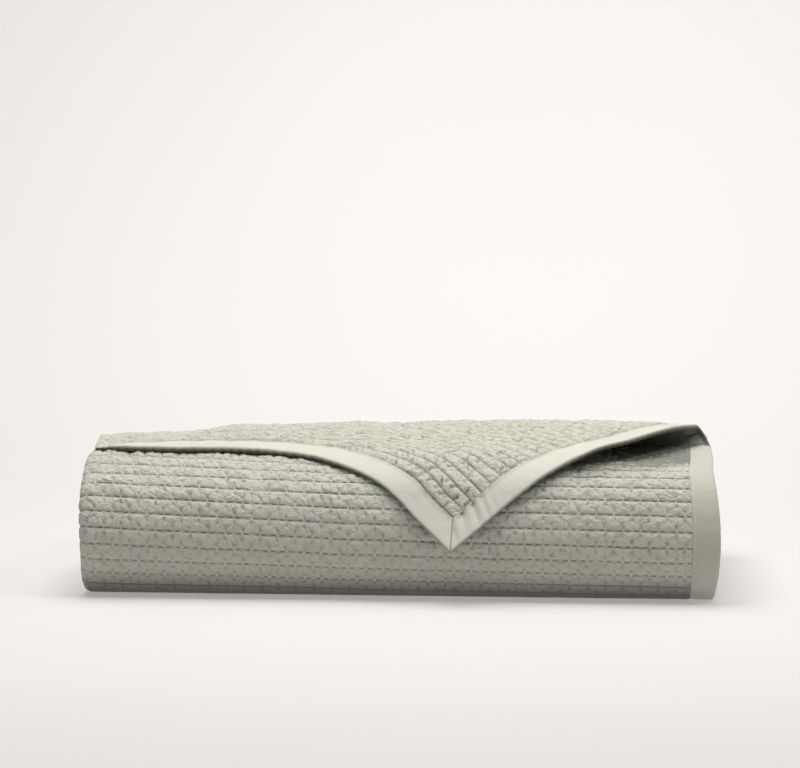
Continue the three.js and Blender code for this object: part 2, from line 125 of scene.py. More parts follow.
# Lowest height of each skin over the floor in metres, all different so that no
# two skins share a plane
LOW_FACE, LOW_STACK, LOW_BACK, LOW_BINDING = 0.00005, 0.00004, 0.00003, 0.00006


def mix(a, b, t):
    return a + (b - a) * t


def ease(t):
    t = np.clip(t, 0.0, 1.0)
    return t * t * (3 - 2 * t)


def bump(x):
    return np.exp(-x * x)


def smooth_line(table, steps):
    """Catmull-Rom line through the rows of a table"""
    out = []
    last = len(table) - 1
    for k in range(last):
        a, b = table[max(0, k - 1)], table[k]
        d, e = table[k + 1], table[min(last, k + 2)]
        m0, m1 = (d - a) / 2, (e - b) / 2
        for i in range(0 if k == 0 else 1, steps + 1):
            f = i / steps
            out.append(
                (2 * f**3 - 3 * f**2 + 1) * b + (f**3 - 2 * f**2 + f) * m0
                + (3 * f**2 - 2 * f**3) * d + (f**3 - f**2) * m1
            )
    return np.array(out)


def lengths(line):
    return np.concatenate([[0], np.cumsum(np.hypot(*(line[1:, :2] - line[:-1, :2]).T))])


# Front curve: depth and height, length and outward direction
CURVE = smooth_line(FRONT, FRONT_STEPS)[FRONT_TOP * FRONT_STEPS:FRONT_BOTTOM * FRONT_STEPS + 1]
CURVE_RUN = lengths(CURVE)
CURVE_LENGTH = CURVE_RUN[-1]
_d = np.gradient(CURVE, axis=0)
_d /= np.hypot(_d[:, 0], _d[:, 1])[:, None]
CURVE_N = np.stack([_d[:, 1], -_d[:, 0]], 1)


def on_surface(v):
    """y, z and outward direction of the outer surface at v"""
    v = np.asarray(v, float)
    w = np.clip(v, 0, CURVE_LENGTH)
    y, z, ny, nz = (np.interp(w, CURVE_RUN, c) for c in (*CURVE.T, *CURVE_N.T))
    size = np.hypot(ny, nz)
    y = y - np.minimum(v, 0) + np.maximum(v - CURVE_LENGTH, 0)
    return y, z, ny / size, nz / size


_steep = np.degrees(np.arctan2(-CURVE_N[:, 0], CURVE_N[:, 1]))
LEAVE = int(np.argmax(_steep >= LEAVE_SLOPE))


def under_flap(v):
    """Surface that carries the flap: straight on where the roll gets steep"""
    v = np.asarray(v, float)
    y, z, ny, nz = on_surface(np.minimum(v, CURVE_RUN[LEAVE]))
    over = np.maximum(v - CURVE_RUN[LEAVE], 0)
    ly, lz = CURVE_N[LEAVE]
    past = over > 0
    y = np.where(past, CURVE[LEAVE, 0] - lz * over, y)
    z = np.where(past, CURVE[LEAVE, 1] + ly * over, z)
    return y, z, np.where(past, ly, ny), np.where(past, lz, nz)


SIDE = smooth_line(SIDE_EDGE, 12)
END = smooth_line(END_EDGE, 12)
SIDE_RUN = lengths(SIDE)
END_RUN = lengths(END)
SIDE_LENGTH = SIDE_RUN[-1]
END_LENGTH = END_RUN[-1]
TIP = SIDE[0, :2]
FOLD_RIGHT = SIDE[-1, :2]
ALONG = (FOLD_RIGHT - FOLD_LEFT) / np.hypot(*(FOLD_RIGHT - FOLD_LEFT))
BEHIND = np.array([ALONG[1], -ALONG[0]])


def along(line, run, want):
    """Place on an edge line at a length, straight on past both ends"""
    want = np.asarray(want, float)
    out = []
    for c in range(3):
        val = np.interp(want, run, line[:, c])
        first = (line[1, c] - line[0, c]) / (run[1] - run[0])
        final = (line[-1, c] - line[-2, c]) / (run[-1] - run[-2])
        val = val + np.minimum(want, 0) * first + np.maximum(want - run[-1], 0) * final
        out.append(val)
    return out


def from_tip(p, q):
    """u, v of a place p along the end edge and q along the side edge"""
    e = along(END, END_RUN, p)
    s = along(SIDE, SIDE_RUN, q)
    return e[0] + s[0] - TIP[0], e[1] + s[1] - TIP[1]


def behind_fold(u, v):
    return (u - FOLD_LEFT[0]) * BEHIND[0] + (v - FOLD_LEFT[1]) * BEHIND[1]


def fold_v(u, start=FOLD_LEFT):
    """v of the straight fold line at u"""
    return start[1] + (u - start[0]) * ALONG[1] / ALONG[0]


def halve(low, high, steps, below):
    """Value between low and high up to which below holds"""
    for _ in range(steps):
        middle = (low + high) / 2
        less = below(middle)
        low, high = np.where(less, middle, low), np.where(less, high, middle)
    return (low + high) / 2


def fold_at(p):
    """q at which the column p meets the fold"""
    p = np.asarray(p, float)
    high = np.full(p.shape, SIDE_LENGTH + 200.0)
    return halve(
        np.full(p.shape, -200.0), high, 40, lambda q: behind_fold(*from_tip(p, q)) < 0
    )


LEFT_COLUMN = float(halve(
    0.0, END_LENGTH + 300.0, 40, lambda p: from_tip(p, fold_at(p))[0] > FOLD_LEFT[0]
))
# Where the columns meet the fold, for reading off
FOLD_P = np.linspace(-80.0, LEFT_COLUMN + 80, 1200)
FOLD_Q = fold_at(FOLD_P)


def fold_gap(share):
    k = np.clip(np.searchsorted(FOLD_GAP[:, 0], share), 1, len(FOLD_GAP) - 1)
    a, b = FOLD_GAP[k - 1], FOLD_GAP[k]
    return mix(a[..., 1], b[..., 1], ease((share - a[..., 0]) / (b[..., 0] - a[..., 0])))


def gap_at(share, t):
    """Gap between the outer surface and the underside of the flap"""
    edge = along(SIDE, SIDE_RUN, t * SIDE_LENGTH)[2]
    plain = mix(SIDE[0, 2], FOLD_GAP[0, 1], t)
    hem = along(END, END_RUN, share * END_LENGTH)[2]
    left = ease(share / 0.5)
    rise = mix(t, np.sin(t * math.pi / 2), left)
    body = mix(hem, fold_gap(share), rise)
    stand = (edge - plain) * (1 - left)
    low = ease((1.005 - share) / 0.06)
    return mix(LEFT_GAP, body + stand, low)


def flap_share(p, q):
    """Share across the flap of a place p, q: 0 at the side edge, 1 at the left"""

    def share_at(t):
        return np.clip((p - HEM) / (mix(END_LENGTH, LEFT_COLUMN, t) - HEM), -0.06, 1.06)

    def below(t):
        q_fold = np.interp(mix(HEM, LEFT_COLUMN, share_at(t)), FOLD_P, FOLD_Q)
        return HEM + t * (q_fold - HEM) < q

    return share_at(halve(np.full(np.shape(p), -0.1), np.full(np.shape(p), 1.0), 25, below))


def settle(x, y, z):
    """Place of the settled stack in the frame, in metres"""
    t = x / WIDTH
    off = ((z - DRAW_MIDDLE) / (TOP / 2)) ** 2
    right = np.clip(t, 0, 1)
    back = BACK_DRAW * ease((y - BACK_DRAW_FROM) / BACK_DRAW_OVER)
    xx = x + LEFT_DRAW * off * (1 - t) - RIGHT_DRAW * off * right**20 - back * right**4
    sink = LEFT_SINK * ease((y - LEFT_SINK_FROM) / LEFT_SINK_OVER)
    swell = ease((y - LEFT_RISE_FROM) / LEFT_RISE_OVER) - sink
    rise = 1 - LEFT_LOWER * (1 - t) + RIGHT_RISE * t * ease((y - RISE_FROM) / RISE_OVER)
    rise = rise + LEFT_RISE * (1 - ease((t - LEFT_END) / LEFT_END_OVER)) * swell
    sag = CORNER_SAG * ease((y - SAG_FROM_Y) / SAG_OVER_Y) * ease((SAG_TO_X - x) / SAG_OVER_X)
    sag = sag * (np.clip(z, 0, None) / TOP) ** 2
    return np.stack([xx - CENTRE_X, y - CENTRE_Y, z * rise - sag], -1) / 1000


def on_flap(p, q, n, share):
    """Settled place on the flap: n is the height over the middle of the ply"""
    u, v = from_tip(p, q)
    y, z, ny, nz = under_flap(v)
    h = gap_at(np.clip(share, 0, 1), np.clip(q / fold_at(p), 0, 1)) + PLY / 2 + n
    return settle(u, y + ny * h, z + nz * h)


def turn_radius(share):
    return (gap_at(np.clip(share, 0, 1), np.ones_like(share)) + PLY) / 2


def turn_grid(steps, count):
    """Steps of a turn, the first one left out, for a number of columns"""
    return np.linspace(0, 1, steps + 1)[1:, None] * np.ones(count)


def on_turn(p, step, n, share):
    """Settled place on the turn behind the flap; step 0 is the flap side"""
    u, v = from_tip(p, fold_at(p))
    r = turn_radius(share)
    a = math.pi * (1 - step)
    square = (WIDTH - p - u) / ALONG[0]
    bulge = 1 - ease((p - HEM) / (2 * HEM))
    go = mix(step, np.sin(step * math.pi / 2) ** 0.85, bulge)
    slide = go * mix(square, r, np.clip((p - 2 * HEM) / (8 * HEM), 0, 1))
    out = (r + n) * np.sin(a)
    uu = u + ALONG[0] * slide + BEHIND[0] * out
    vv = v + ALONG[1] * slide + BEHIND[1] * out
    y, z, _, _ = on_surface(vv)
    return settle(uu, y, z - PLY / 2 + r - (r + n) * np.cos(a))


# Random values by row and column count, repeated beyond the table
TABLE_ROWS, TABLE_COLUMNS = 96, 128
rng = np.random.RandomState(41)
TABLE = {
    name: rng.rand(TABLE_ROWS, TABLE_COLUMNS)
    for name in ("off", "lean", "deep", "puff", "part", "lift")
}


def pick(name, k, j):
    return TABLE[name][np.mod(k, TABLE_ROWS).astype(int), np.mod(j, TABLE_COLUMNS).astype(int)]


def soft_noise(row, col, name, fine):
    """Smooth random value at row and column counts, about 0"""
    r, c = row * fine, col * fine
    r0, c0 = np.floor(r), np.floor(c)
    fr, fc = ease(r - r0), ease(c - c0)
    top = mix(pick(name, r0, c0), pick(name, r0, c0 + 1), fc)
    low = mix(pick(name, r0 + 1, c0), pick(name, r0 + 1, c0 + 1), fc)
    return mix(top, low, fr) - 0.5


def ray(x, y, x0, y0, x1, y1, wide):
    """Sharp crease from one place to another, fading out along its length"""
    dx, dy = x1 - x0, y1 - y0
    size = dx * dx + dy * dy + 1e-9
    t = np.clip(((x - x0) * dx + (y - y0) * dy) / size, 0, 1)
    far = np.hypot(x - x0 - t * dx, y - y0 - t * dy)
    return bump(far / (wide * (1 - 0.45 * t))) * (1 - 0.75 * t * t)


# Creases from the end of an upright stitch. Columns: lean in columns, reach in rows
CREASES = ((-0.62, 0.42), (0.04, 0.5), (0.58, 0.44))
CREASE_WIDTH = 1.3

# Puckers of the reverse to a column of stitches
PUCKERS = 1.35


def front_quilting(row, col, seed=0):
    """Relief, crease strength and painted crease shade of the face with upright stitches: small
    pillows between sharp creases that spread from the ends of the stitches"""
    k = np.floor(row)
    ks = k + seed
    f = row - k
    near = np.minimum(f, 1 - f) * ROW
    x, y = col * COLUMN, f * ROW
    valley = np.zeros_like(row)
    dimple = np.zeros_like(row)
    for dj in (-1, 0, 1, 2):
        j = np.floor(col) + dj
        upper = np.mod(k + j, 2) == 0
        end = (3.6 + 1.2 * pick("part", ks, j)) / ROW
        x0 = j * COLUMN + 1.3 * (pick("off", ks, j) - 0.5)
        y0 = np.where(upper, end, 1 - end) * ROW
        for i, (lean, reach) in enumerate(CREASES):
            a = pick("lean", ks + 7 * i, j)
            b = pick("deep", ks + 11 * i, j)
            x1 = x0 + (lean + 0.55 * (a - 0.5)) * COLUMN
            go = (reach + 0.4 * (b - 0.5)) * ROW
            y1 = y0 + np.where(upper, go, -go)
            deep = np.clip(0.1 + 1.3 * pick("puff", ks + 5 * i, j) ** 1.5, 0, 1)
            valley = np.maximum(valley, deep * ray(x, y, x0, y0, x1, y1, CREASE_WIDTH))
        root = np.where(upper, y, ROW - y)
        stub = bump((x - x0) / 0.8) * ease((end * ROW + 0.6 - root) / 1.6)
        pit = bump(np.hypot(x - x0, (root - end * ROW) * 0.9) / 1.25)
        dimple = np.maximum(dimple, np.maximum(0.55 * stub, pit))
        far = np.where(upper, ROW - y, y)
        valley = np.maximum(valley, 0.6 * bump((x - x0) / 1.5) * bump(far / 3.0))
    puff = soft_noise(row + seed, col, "puff", 1.3)
    puff = puff + 0.7 * soft_noise(row, col + seed, "lift", 0.6)
    pillow = 1 - np.abs(2 * f - 1) ** 3.0
    height = pillow * (1 + 1.1 * puff) * (1 - 0.72 * valley) - 0.55 * dimple * pillow**0.3
    crease = bump(near / 0.6)
    # Painted shade in the valleys and dimples, besides the row creases
    fine = np.maximum(0.22 * valley**1.5 * pillow**0.3, 0.5 * dimple * ease(near / 1.2))
    return height, crease, np.maximum(crease, fine)


def back_quilting(row, col, seed=0):
    """Relief, crease strength and painted crease shade of the reverse: rows crossed by irregular
    sharp puckers, some of them across half a row only"""
    k = np.floor(row)
    ks = k + seed
    f = row - k
    near = np.minimum(f, 1 - f) * ROW
    pillow = 1 - np.abs(2 * f - 1) ** 3.6
    valley = np.zeros_like(row)
    count = col * PUCKERS
    for dj in (-2, -1, 0, 1, 2):
        j = np.round(count) + dj
        js = j + 3 * seed
        off = (pick("off", ks, js) - 0.5) * 0.9
        lean = (pick("lean", ks, js) - 0.5) * 2.0
        wave = 0.22 * np.sin(2 * math.pi * (f + pick("part", ks, js)))
        line = j + off + lean * (f - 0.5) + wave
        part = pick("part", ks + 5, js)
        lower = np.where(part > 0.64, ease((f - 0.38) / 0.16), 1.0)
        reach = np.where(part < 0.36, ease((0.62 - f) / 0.16), lower)
        deep = (0.3 + 0.9 * pick("deep", ks, js)) * reach
        wide = (0.85 + 0.7 * pick("lift", ks, js)) * PUCKERS / COLUMN
        away = (count - line) / wide
        valley = np.maximum(valley, deep * bump(np.where(away > 0, away * 1.5, away * 0.8)))
    puff = soft_noise(row + seed, count, "puff", 0.9)
    puff = puff + 0.6 * soft_noise(row, count + seed, "lift", 0.4)
    valley = np.clip(valley, 0, 1)
    height = pillow * (1 + 0.8 * puff) * (1 - 0.9 * valley) - 0.2 * valley * pillow
    crease = bump(near / 0.55)
    # Painted shade in the row creases and the puckers
    shade_mark = np.maximum(0.85 * crease, 0.9 * valley**1.7 * pillow**0.25)
    return height, crease, shade_mark


# Rows of the outer face: v of row 0, and u where they start to run down faster
ROW_ZERO = 67.9
ROW_BEND = 240.0


def row_lay(u):
    """How far the rows have run down at u, and their pitch there"""
    lean = np.where(u < ROW_BEND, 0.055, 0.0196) * (u - ROW_BEND)
    return lean, ROW + 1.0 * ease((ROW_BEND - u) / 228)


def row_of(u, v):
    lean, pitch = row_lay(u)
    return (v - ROW_ZERO - lean) / pitch


def v_of(row, u):
    lean, pitch = row_lay(u)
    return row * pitch + ROW_ZERO + lean


def add_object(name, data):
    obj = bpy.data.objects.new(name, data)
    bpy.context.scene.collection.objects.link(obj)
    return obj


def smooth_object(name, points, faces, material, shade_marks=None):
    """Smooth mesh in the scene. Its per-point values are painted shade that darkens its material,
    one to a point
    """
    mesh = bpy.data.meshes.new(name)
    points = np.asarray(points, np.float64).reshape(-1, 3)
    faces = np.asarray(faces, np.int32)
    mesh.vertices.add(len(points))
    mesh.vertices.foreach_set("co", points.astype(np.float32).ravel())
    width = faces.shape[1]
    mesh.loops.add(faces.size)
    mesh.loops.foreach_set("vertex_index", faces.ravel())
    mesh.polygons.add(len(faces))
    mesh.polygons.foreach_set("loop_start", np.arange(0, faces.size, width, dtype=np.int32))
    mesh.polygons.foreach_set("loop_total", np.full(len(faces), width, dtype=np.int32))
    mesh.update(calc_edges=True)
    mesh.validate()
    mesh.polygons.foreach_set("use_smooth", np.ones(len(mesh.polygons), dtype=bool))
    if shade_marks is not None:
        layer = mesh.attributes.new("shade_mark", "FLOAT", "POINT")
        layer.data.foreach_set("value", np.asarray(shade_marks, np.float32).ravel())
    mesh.materials.append(material)
    return add_object(name, mesh)


def make_mesh(name, points, faces, kind, shade_marks=None):
    """Piece of the quilt. kind is its material"""
    obj = smooth_object(name, points, faces, kind[0], shade_marks)
    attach(obj, "root")
    return obj


def grid_faces(rows, cols, wrap=False):
    i = np.arange(rows - 1)[:, None]
    j = np.arange(cols if wrap else cols - 1)[None, :]
    k = (j + 1) % cols
    corners = (i * cols + j, i * cols + k, (i + 1) * cols + k, (i + 1) * cols + j)
    return np.stack(corners, -1).reshape(-1, 4)


def sheet_faces(points, least=1e-9):
    """Faces of a grid of points, without those of no area"""
    faces = grid_faces(*points.shape[:2])
    a, b, c, d = (points.reshape(-1, 3)[faces[:, i]] for i in range(4))
    area = np.linalg.norm(np.cross(c - a, d - b), axis=1) / 2
    return faces[area > least]


def above(points, height):
    """Points pressed flat at a height over the floor"""
    points[..., 2] = np.maximum(points[..., 2], height)
    return points


def aligned(start, stop, pitch, parts):
    """Samples from start to stop that fall on multiples of pitch"""
    counts = range(math.floor(start / pitch) - 1, math.ceil(stop / pitch) + 1)
    out = np.array([(k + f) * pitch for k in counts for f in parts])
    return out[(out >= start) & (out <= stop)]


# Where the samples lie in a row and in a column of the quilting
ROW_PARTS = (0, 0.045, 0.12, 0.22, 0.34, 0.45, 0.56, 0.67, 0.78, 0.88, 0.955)
CORNER_PARTS = (0, 0.05, 0.15, 0.29, 0.44, 0.6, 0.76, 0.91)
COLUMN_PARTS = (0, 0.13, 0.27, 0.42, 0.57, 0.72, 0.87)
HIDDEN_ROW_PARTS = (0, 0.08, 0.3, 0.5, 0.7, 0.92)
HIDDEN_COLUMN_PARTS = (0, 0.25, 0.5, 0.75)
BACK_ROW_PARTS = (0, 0.09, 0.25, 0.5, 0.75, 0.91)
BACK_COLUMN_PARTS = (0, 0.2, 0.5, 0.8)


def left_roll(w, n):
    """x and height over the middle of the strip: w is the length along the loop
    from the start of the flat face, negative round the left fold; n outward"""
    turn = np.clip(-w, 0, None) / HALF
    x = HALF + np.maximum(w, 0) - (HALF + n) * np.sin(turn)
    return x, (HALF + n) * np.cos(turn)


def outer_point(w, v, n):
    """Unsettled place on the outer ply"""
    x, up = left_roll(w, n)
    y, z, ny, nz = on_surface(v)
    return x, y - ny * (HALF - up), z - nz * (HALF - up)


def new_material(name):
    mat = bpy.data.materials.new(name)
    mat.use_nodes = True
    return mat, mat.node_tree, mat.node_tree.nodes["Principled BSDF"]


def feed(tree, node, values):
    """Set each input of a node to a value, or join it to a socket"""
    for key, value in values.items():
        if isinstance(value, bpy.types.NodeSocket):
            tree.links.new(value, node.inputs[key])
        else:
            node.inputs[key].default_value = value


def add_node(tree, kind, values, out, **settings):
    """Output socket of a new node"""
    node = tree.nodes.new("ShaderNode" + kind)
    for key, value in settings.items():
        setattr(node, key, value)
    feed(tree, node, values)
    return node.outputs[out]


def colour_ramp(tree, fac, places, colours):
    out = add_node(tree, "ValToRGB", {"Fac": fac}, "Color")
    for stop, place, colour in zip(out.node.color_ramp.elements, places, colours):
        stop.position = place
        stop.color = (*colour, 1)
    return out


def cloth_material(name, light, painted_shade, rough, weave, depth, sheen, crinkle, takes_painted_shade=True):
    """Woven cotton: mottled colour, painted shade that darkens its creases, seams and hollows,
    fine weave. Crinkle is the size and height of the small wrinkles"""
    mat, tree, shader = new_material(name)
    at = add_node(tree, "TexCoord", {}, "Object")
    cloud = add_node(tree, "TexNoise", {"Scale": 22.0, "Detail": 4.0, "Vector": at}, "Fac")
    fibre = add_node(tree, "TexNoise", {"Scale": 1900.0, "Detail": 2.0, "Vector": at}, "Fac")
    tone = add_node(
        tree, "Math", {0: cloud, 1: 0.55, 2: fibre}, "Value", operation="MULTIPLY_ADD"
    )
    pale = [min(1, c * 1.05) for c in light]
    colour = colour_ramp(tree, tone, (0.35, 1.0), ([c * 0.93 for c in light], pale))
    # Painted shade: the colour is mixed towards the shade colour where the per-point value is high
    if takes_painted_shade:
        shade_mark = add_node(tree, "Attribute", {}, "Fac", attribute_name="shade_mark")
        blend = {"Factor": shade_mark, "A": colour, "B": (*painted_shade, 1)}
        colour = add_node(tree, "Mix", blend, "Result", data_type="RGBA")
    thread = add_node(
        tree, "TexWave",
        {"Scale": weave, "Distortion": 1.2, "Detail": 1.0, "Vector": at}, "Fac",
        wave_type="BANDS", bands_direction="DIAGONAL",
    )
    both = add_node(tree, "Math", {0: thread, 1: fibre}, "Value", operation="ADD")
    wrinkle = {"Scale": crinkle[0], "Detail": 2.5, "Distortion": 0.7, "Vector": at}
    small = add_node(tree, "TexNoise", wrinkle, "Fac")
    folds = {"Strength": 0.8, "Distance": crinkle[1], "Height": small}
    relief = add_node(tree, "Bump", {
        "Strength": depth, "Distance": 0.00012, "Height": both,
        "Normal": add_node(tree, "Bump", folds, "Normal"),
    }, "Normal")
    feed(tree, shader, {
        "Roughness": rough, "Sheen Weight": sheen, "Sheen Roughness": 0.5,
        "Specular IOR Level": 0.25, "Base Color": colour, "Normal": relief,
    })
    return mat


# Colours of the cloth and the binding: their own colour, then the colour of the painted shade in
# their creases, seams and hollows
CLOTH = cloth_material(
    "quilted_cloth", (0.535, 0.535, 0.465), (0.085, 0.085, 0.06),
    0.9, 420.0, 0.5, 0.15, (230.0, 0.0042),
), "quilted_cloth"
BINDING = cloth_material(
    "binding_cloth", (0.560, 0.560, 0.490), (0.07, 0.07, 0.05),
    0.72, 620.0, 0.25, 0.2, (75.0, 0.0013),
), "binding"
THREAD = cloth_material(
    "thread", (0.660, 0.662, 0.590), (0.66, 0.662, 0.59),
    0.6, 900.0, 0.3, 0.1, (400.0, 0.0001), takes_painted_shade=False,
)

# Limits of the quilted face: w at both ends, first row, v under the front
FACE_LEFT = -19.0
FACE_RIGHT = SEAM_X - HALF - 0.1
FACE_FIRST_ROW = -6
FACE_LAST_V = 232.0
STACK_INSET = 1.3

# How far forward the shade under the raised corner reaches. Columns: u, v
CAVITY = np.array([
    [380, -60], [440, 10], [455, 66], [474, 57], [488, 50], [510, 45], [529, 40], [560, 24],
])


def sheltered(u, v):
    """1 deep under the raised corner, 0 in the open"""
    reach = np.interp(u, CAVITY[:, 0], CAVITY[:, 1])
    return ease((reach - 4 - v) / 36) ** 0.8


def face_relief(w, v):
    """Height over the outer face, and its painted shade: in the creases, towards the floor and
    under the raised corner
    """
    u = HALF + w
    height, crease, shade_mark = front_quilting(row_of(u, v), u / COLUMN)
    size = mix(1.0, 0.42, ease((v - 92) / 50)) * mix(1.0, 0.8, ease((10 - v) / 40))
    size = size * mix(1.0, 0.55, ease((6 - w) / 14))
    rise = (2.0 * height - 0.5 * crease) * size - 0.85
    floor = ease((v - 178) / 22)
    rise = mix(rise, -0.25 * crease, floor)
    rise = mix(rise, -0.75, ease((w - (FACE_RIGHT - 2.2)) / 2.2))
    rise = mix(rise, -1.6, ease((FACE_LEFT + 4 - w) / 4))
    # Painted shade: the lowest rows darken towards the floor, and the cloth under the raised
    # corner is darkened
    shade = 0.95 * ease((v - 136) / 44) ** 1.1 * ease((w - FACE_LEFT) / 17)
    shade = np.maximum(shade, 0.85 * sheltered(u, v))
    return rise, np.clip(shade_mark * mix(1, 0.7, floor) + shade, 0, 1)


def sheet_mesh(name, points, shade_marks):
    return make_mesh(name, points, sheet_faces(points), CLOTH, shade_marks)


def face_columns(parts, *more):
    cols = aligned(FACE_LEFT + HALF, FACE_RIGHT + HALF, COLUMN, parts) - HALF
    return np.unique([*cols, FACE_LEFT, FACE_RIGHT, *more])


def quilted_face(name, row_parts, column_parts, first, final, clip_fold=False):
    """Outer face between two rows, cut off at the fold or at its last v"""
    cols = face_columns(column_parts, FACE_RIGHT - 1.3)
    w, r = np.meshgrid(cols, aligned(first, final, 1.0, row_parts))
    v = v_of(r, HALF + w)
    if clip_fold:
        v = np.maximum(v, fold_v(HALF + w) - 3)
    else:
        v = np.minimum(v, FACE_LAST_V)
    rise, shade_mark = face_relief(w, v)
    points = above(settle(*outer_point(w, v, rise)), LOW_FACE)
    return sheet_mesh(name, points, 0.8 * shade_mark)


upper_face = quilted_face("upper_front_face", ROW_PARTS, COLUMN_PARTS, FACE_FIRST_ROW, 3.0)
lower_face = quilted_face("lower_front_face", ROW_PARTS, COLUMN_PARTS, 3.0, 12.2)
sheltered_face = quilted_face(
    "sheltered_face", HIDDEN_ROW_PARTS, HIDDEN_COLUMN_PARTS, -16.0, FACE_FIRST_ROW, True
)

LEFT_Q = float(fold_at(LEFT_COLUMN))
TURN_STEPS = 14
BINDING_TURN_STEPS = 28
CORNER_SEED = 13

# Narrowing of the end binding. Columns: distance from its left end, share
END_TAPER = np.array([[0, 0.05], [3, 0.14], [12, 0.46], [22, 0.66], [33, 0.82], [54, 1.0]])


def seam_of_side(q):
    """Width of the side binding at q, a little less near the tip"""
    return HEM * (1 - 0.09 * ease((150 - q) / 110))


def seam_of_end(p):
    """Width of the end binding at p"""
    return seam_of_side(p) * np.interp(END_LENGTH + 1 - p, END_TAPER[:, 0], END_TAPER[:, 1])


def droop(p, q):
    """Sinking of the corner's left end towards the cloth below it"""
    return 3.0 * ease((p - END_LENGTH + 30) / 34) * ease((70 - q) / 70)


def corner_relief(p, q, under=False):
    """Height over the ply of the corner, and painted shade in its creases and along its seams"""
    pattern = front_quilting if under else back_quilting
    row, col = (q - HEM) / CORNER_ROW, (p - HEM) / CORNER_COLUMN
    height, crease, shade_mark = pattern(row, col, CORNER_SEED)
    rise = 2.5 * height - 0.45 * crease - 0.85
    seam = np.minimum(p - seam_of_side(q), q - seam_of_end(p))
    rise = mix(rise, -0.45, ease((2.2 - seam) / 2.2))
    rise = rise - (0 if under else droop(p, q))
    return rise, np.clip(np.maximum(shade_mark * ease(seam / 1.2), 0.45 * bump(seam / 0.6)), 0, 1)


def low_q(p):
    """q at which the quilting of the column p starts"""
    low = seam_of_end(p) - 0.3
    return low + np.clip((p - END_LENGTH) / (LEFT_COLUMN - END_LENGTH), 0, 1) * (LEFT_Q - low)


def corner_top():
    """Upper face of the corner and of the turn behind it"""
    cols = aligned(0, LEFT_COLUMN - HEM, CORNER_COLUMN, COLUMN_PARTS) + HEM
    cols = np.unique(np.concatenate([[HEM - 2.6, HEM - 1.2], cols, [LEFT_COLUMN]]))
    q_fold = fold_at(cols)
    rows = aligned(0, q_fold.max() - HEM + 2, CORNER_ROW, CORNER_PARTS) + HEM
    p, q = np.meshgrid(cols, np.concatenate([np.linspace(0.5, HEM - 1.2, 9), rows]))
    q = np.clip(q, low_q(p), q_fold[None, :])
    p = np.maximum(p, seam_of_side(q) - 0.3)
    rise, shade_mark = corner_relief(p, q)
    sheet = on_flap(p, q, PLY / 2 + rise, flap_share(p, q))
    step = turn_grid(TURN_STEPS, len(cols))
    share = (cols - HEM) / (LEFT_COLUMN - HEM)
    q = q_fold[None, :] + math.pi * step * (turn_radius(share)[None, :] + PLY / 2)
    p = np.broadcast_to(cols, step.shape)
    rise, turn_shade_mark = corner_relief(p, q)
    rise = mix(rise, -1.0, ease((step - 0.7) / 0.3))
    turn = on_turn(p, step, PLY / 2 + rise, np.broadcast_to(share, step.shape))
    return np.concatenate([sheet, turn]), np.concatenate([shade_mark, turn_shade_mark])


def left_edge():
    """Rounded left edge of the corner, from its upper to its lower face"""
    a = np.linspace(0, math.pi, 9)[None, :]
    p = mix(END_LENGTH, LEFT_COLUMN, np.linspace(0, 1, 90)[:, None]) + 0 * a
    q = low_q(p)
    rise, shade_mark = corner_relief(p, q)
    up = np.cos(a)
    n = np.where(up > 0, PLY / 2 + rise, PLY / 2 + 1.4) * up
    n = n - droop(p, q) * (1 - np.clip(up, 0, 1)) * 0.5
    return on_flap(p + 3.0 * np.sin(a), q, n, np.ones_like(p)), shade_mark


def corner_under():
    """Lower face of the corner and the inside of its turn"""
    s, t = np.meshgrid(np.linspace(-0.004, 1, 190), np.linspace(0, 1, 110))
    p_fold = mix(HEM, LEFT_COLUMN, s)
    p = mix(mix(HEM, END_LENGTH, s), p_fold, t)
    q = mix(HEM, fold_at(p_fold), t)
    rise, shade_mark = corner_relief(p, q, True)
    sheet = on_flap(p, q, -PLY / 2 - 0.6 * rise - 0.3, s)
    step = turn_grid(TURN_STEPS, s.shape[1])
    p, s = (np.broadcast_to(a[0], step.shape) for a in (p_fold, s))
    turn = on_turn(p, step, -PLY / 2 + 0.2 + 0 * step, s)
    return np.concatenate([sheet, turn]), np.concatenate([shade_mark, np.zeros_like(step)])


def joined(parts):
    """Points, faces and painted shade of several skins as one"""
    points, faces, shade_marks, start = [], [], [], 0
    for p, f, m in parts:
        points.append(p.reshape(-1, 3))
        faces.append(f + start)
        shade_marks.append(m.ravel())
        start += len(points[-1])
    return np.concatenate(points), np.concatenate(faces), np.concatenate(shade_marks)


top, top_shade_marks = corner_top()
edge, edge_shade_marks = left_edge()
points, faces, shade_marks = joined([
    (top, sheet_faces(top), top_shade_marks), (edge, grid_faces(*edge.shape[:2]), edge_shade_marks),
])
# Painted shade in the creases and along the seams of the corner
turned_corner = make_mesh("turned_corner", points, faces, CLOTH, 0.8 * shade_marks)
points, shade_marks = corner_under()
# The whole underside of the corner is darkened with painted shade, more in its creases
corner_lining = sheet_mesh("corner_underside", points, 0.7 + 0.3 * shade_marks)

# v of the strip where it isn't on the outer face
NO_V = 999
# Spacing along the strip: flat, on the front curve, and steps of its two turns
FLAT_STEP, CURVE_STEP, BIG_STEPS, SMALL_STEPS = 2.9, 2.6, 44, 16


def flat(layer, nz, ys):
    """Stations of a flat layer: y, z, outward y and z, slip, v"""
    outer = layer == "top_outer"
    return [(y, LAYER[layer], 0, nz, SLIP[layer], FLAT_Y - y if outer else NO_V) for y in ys]


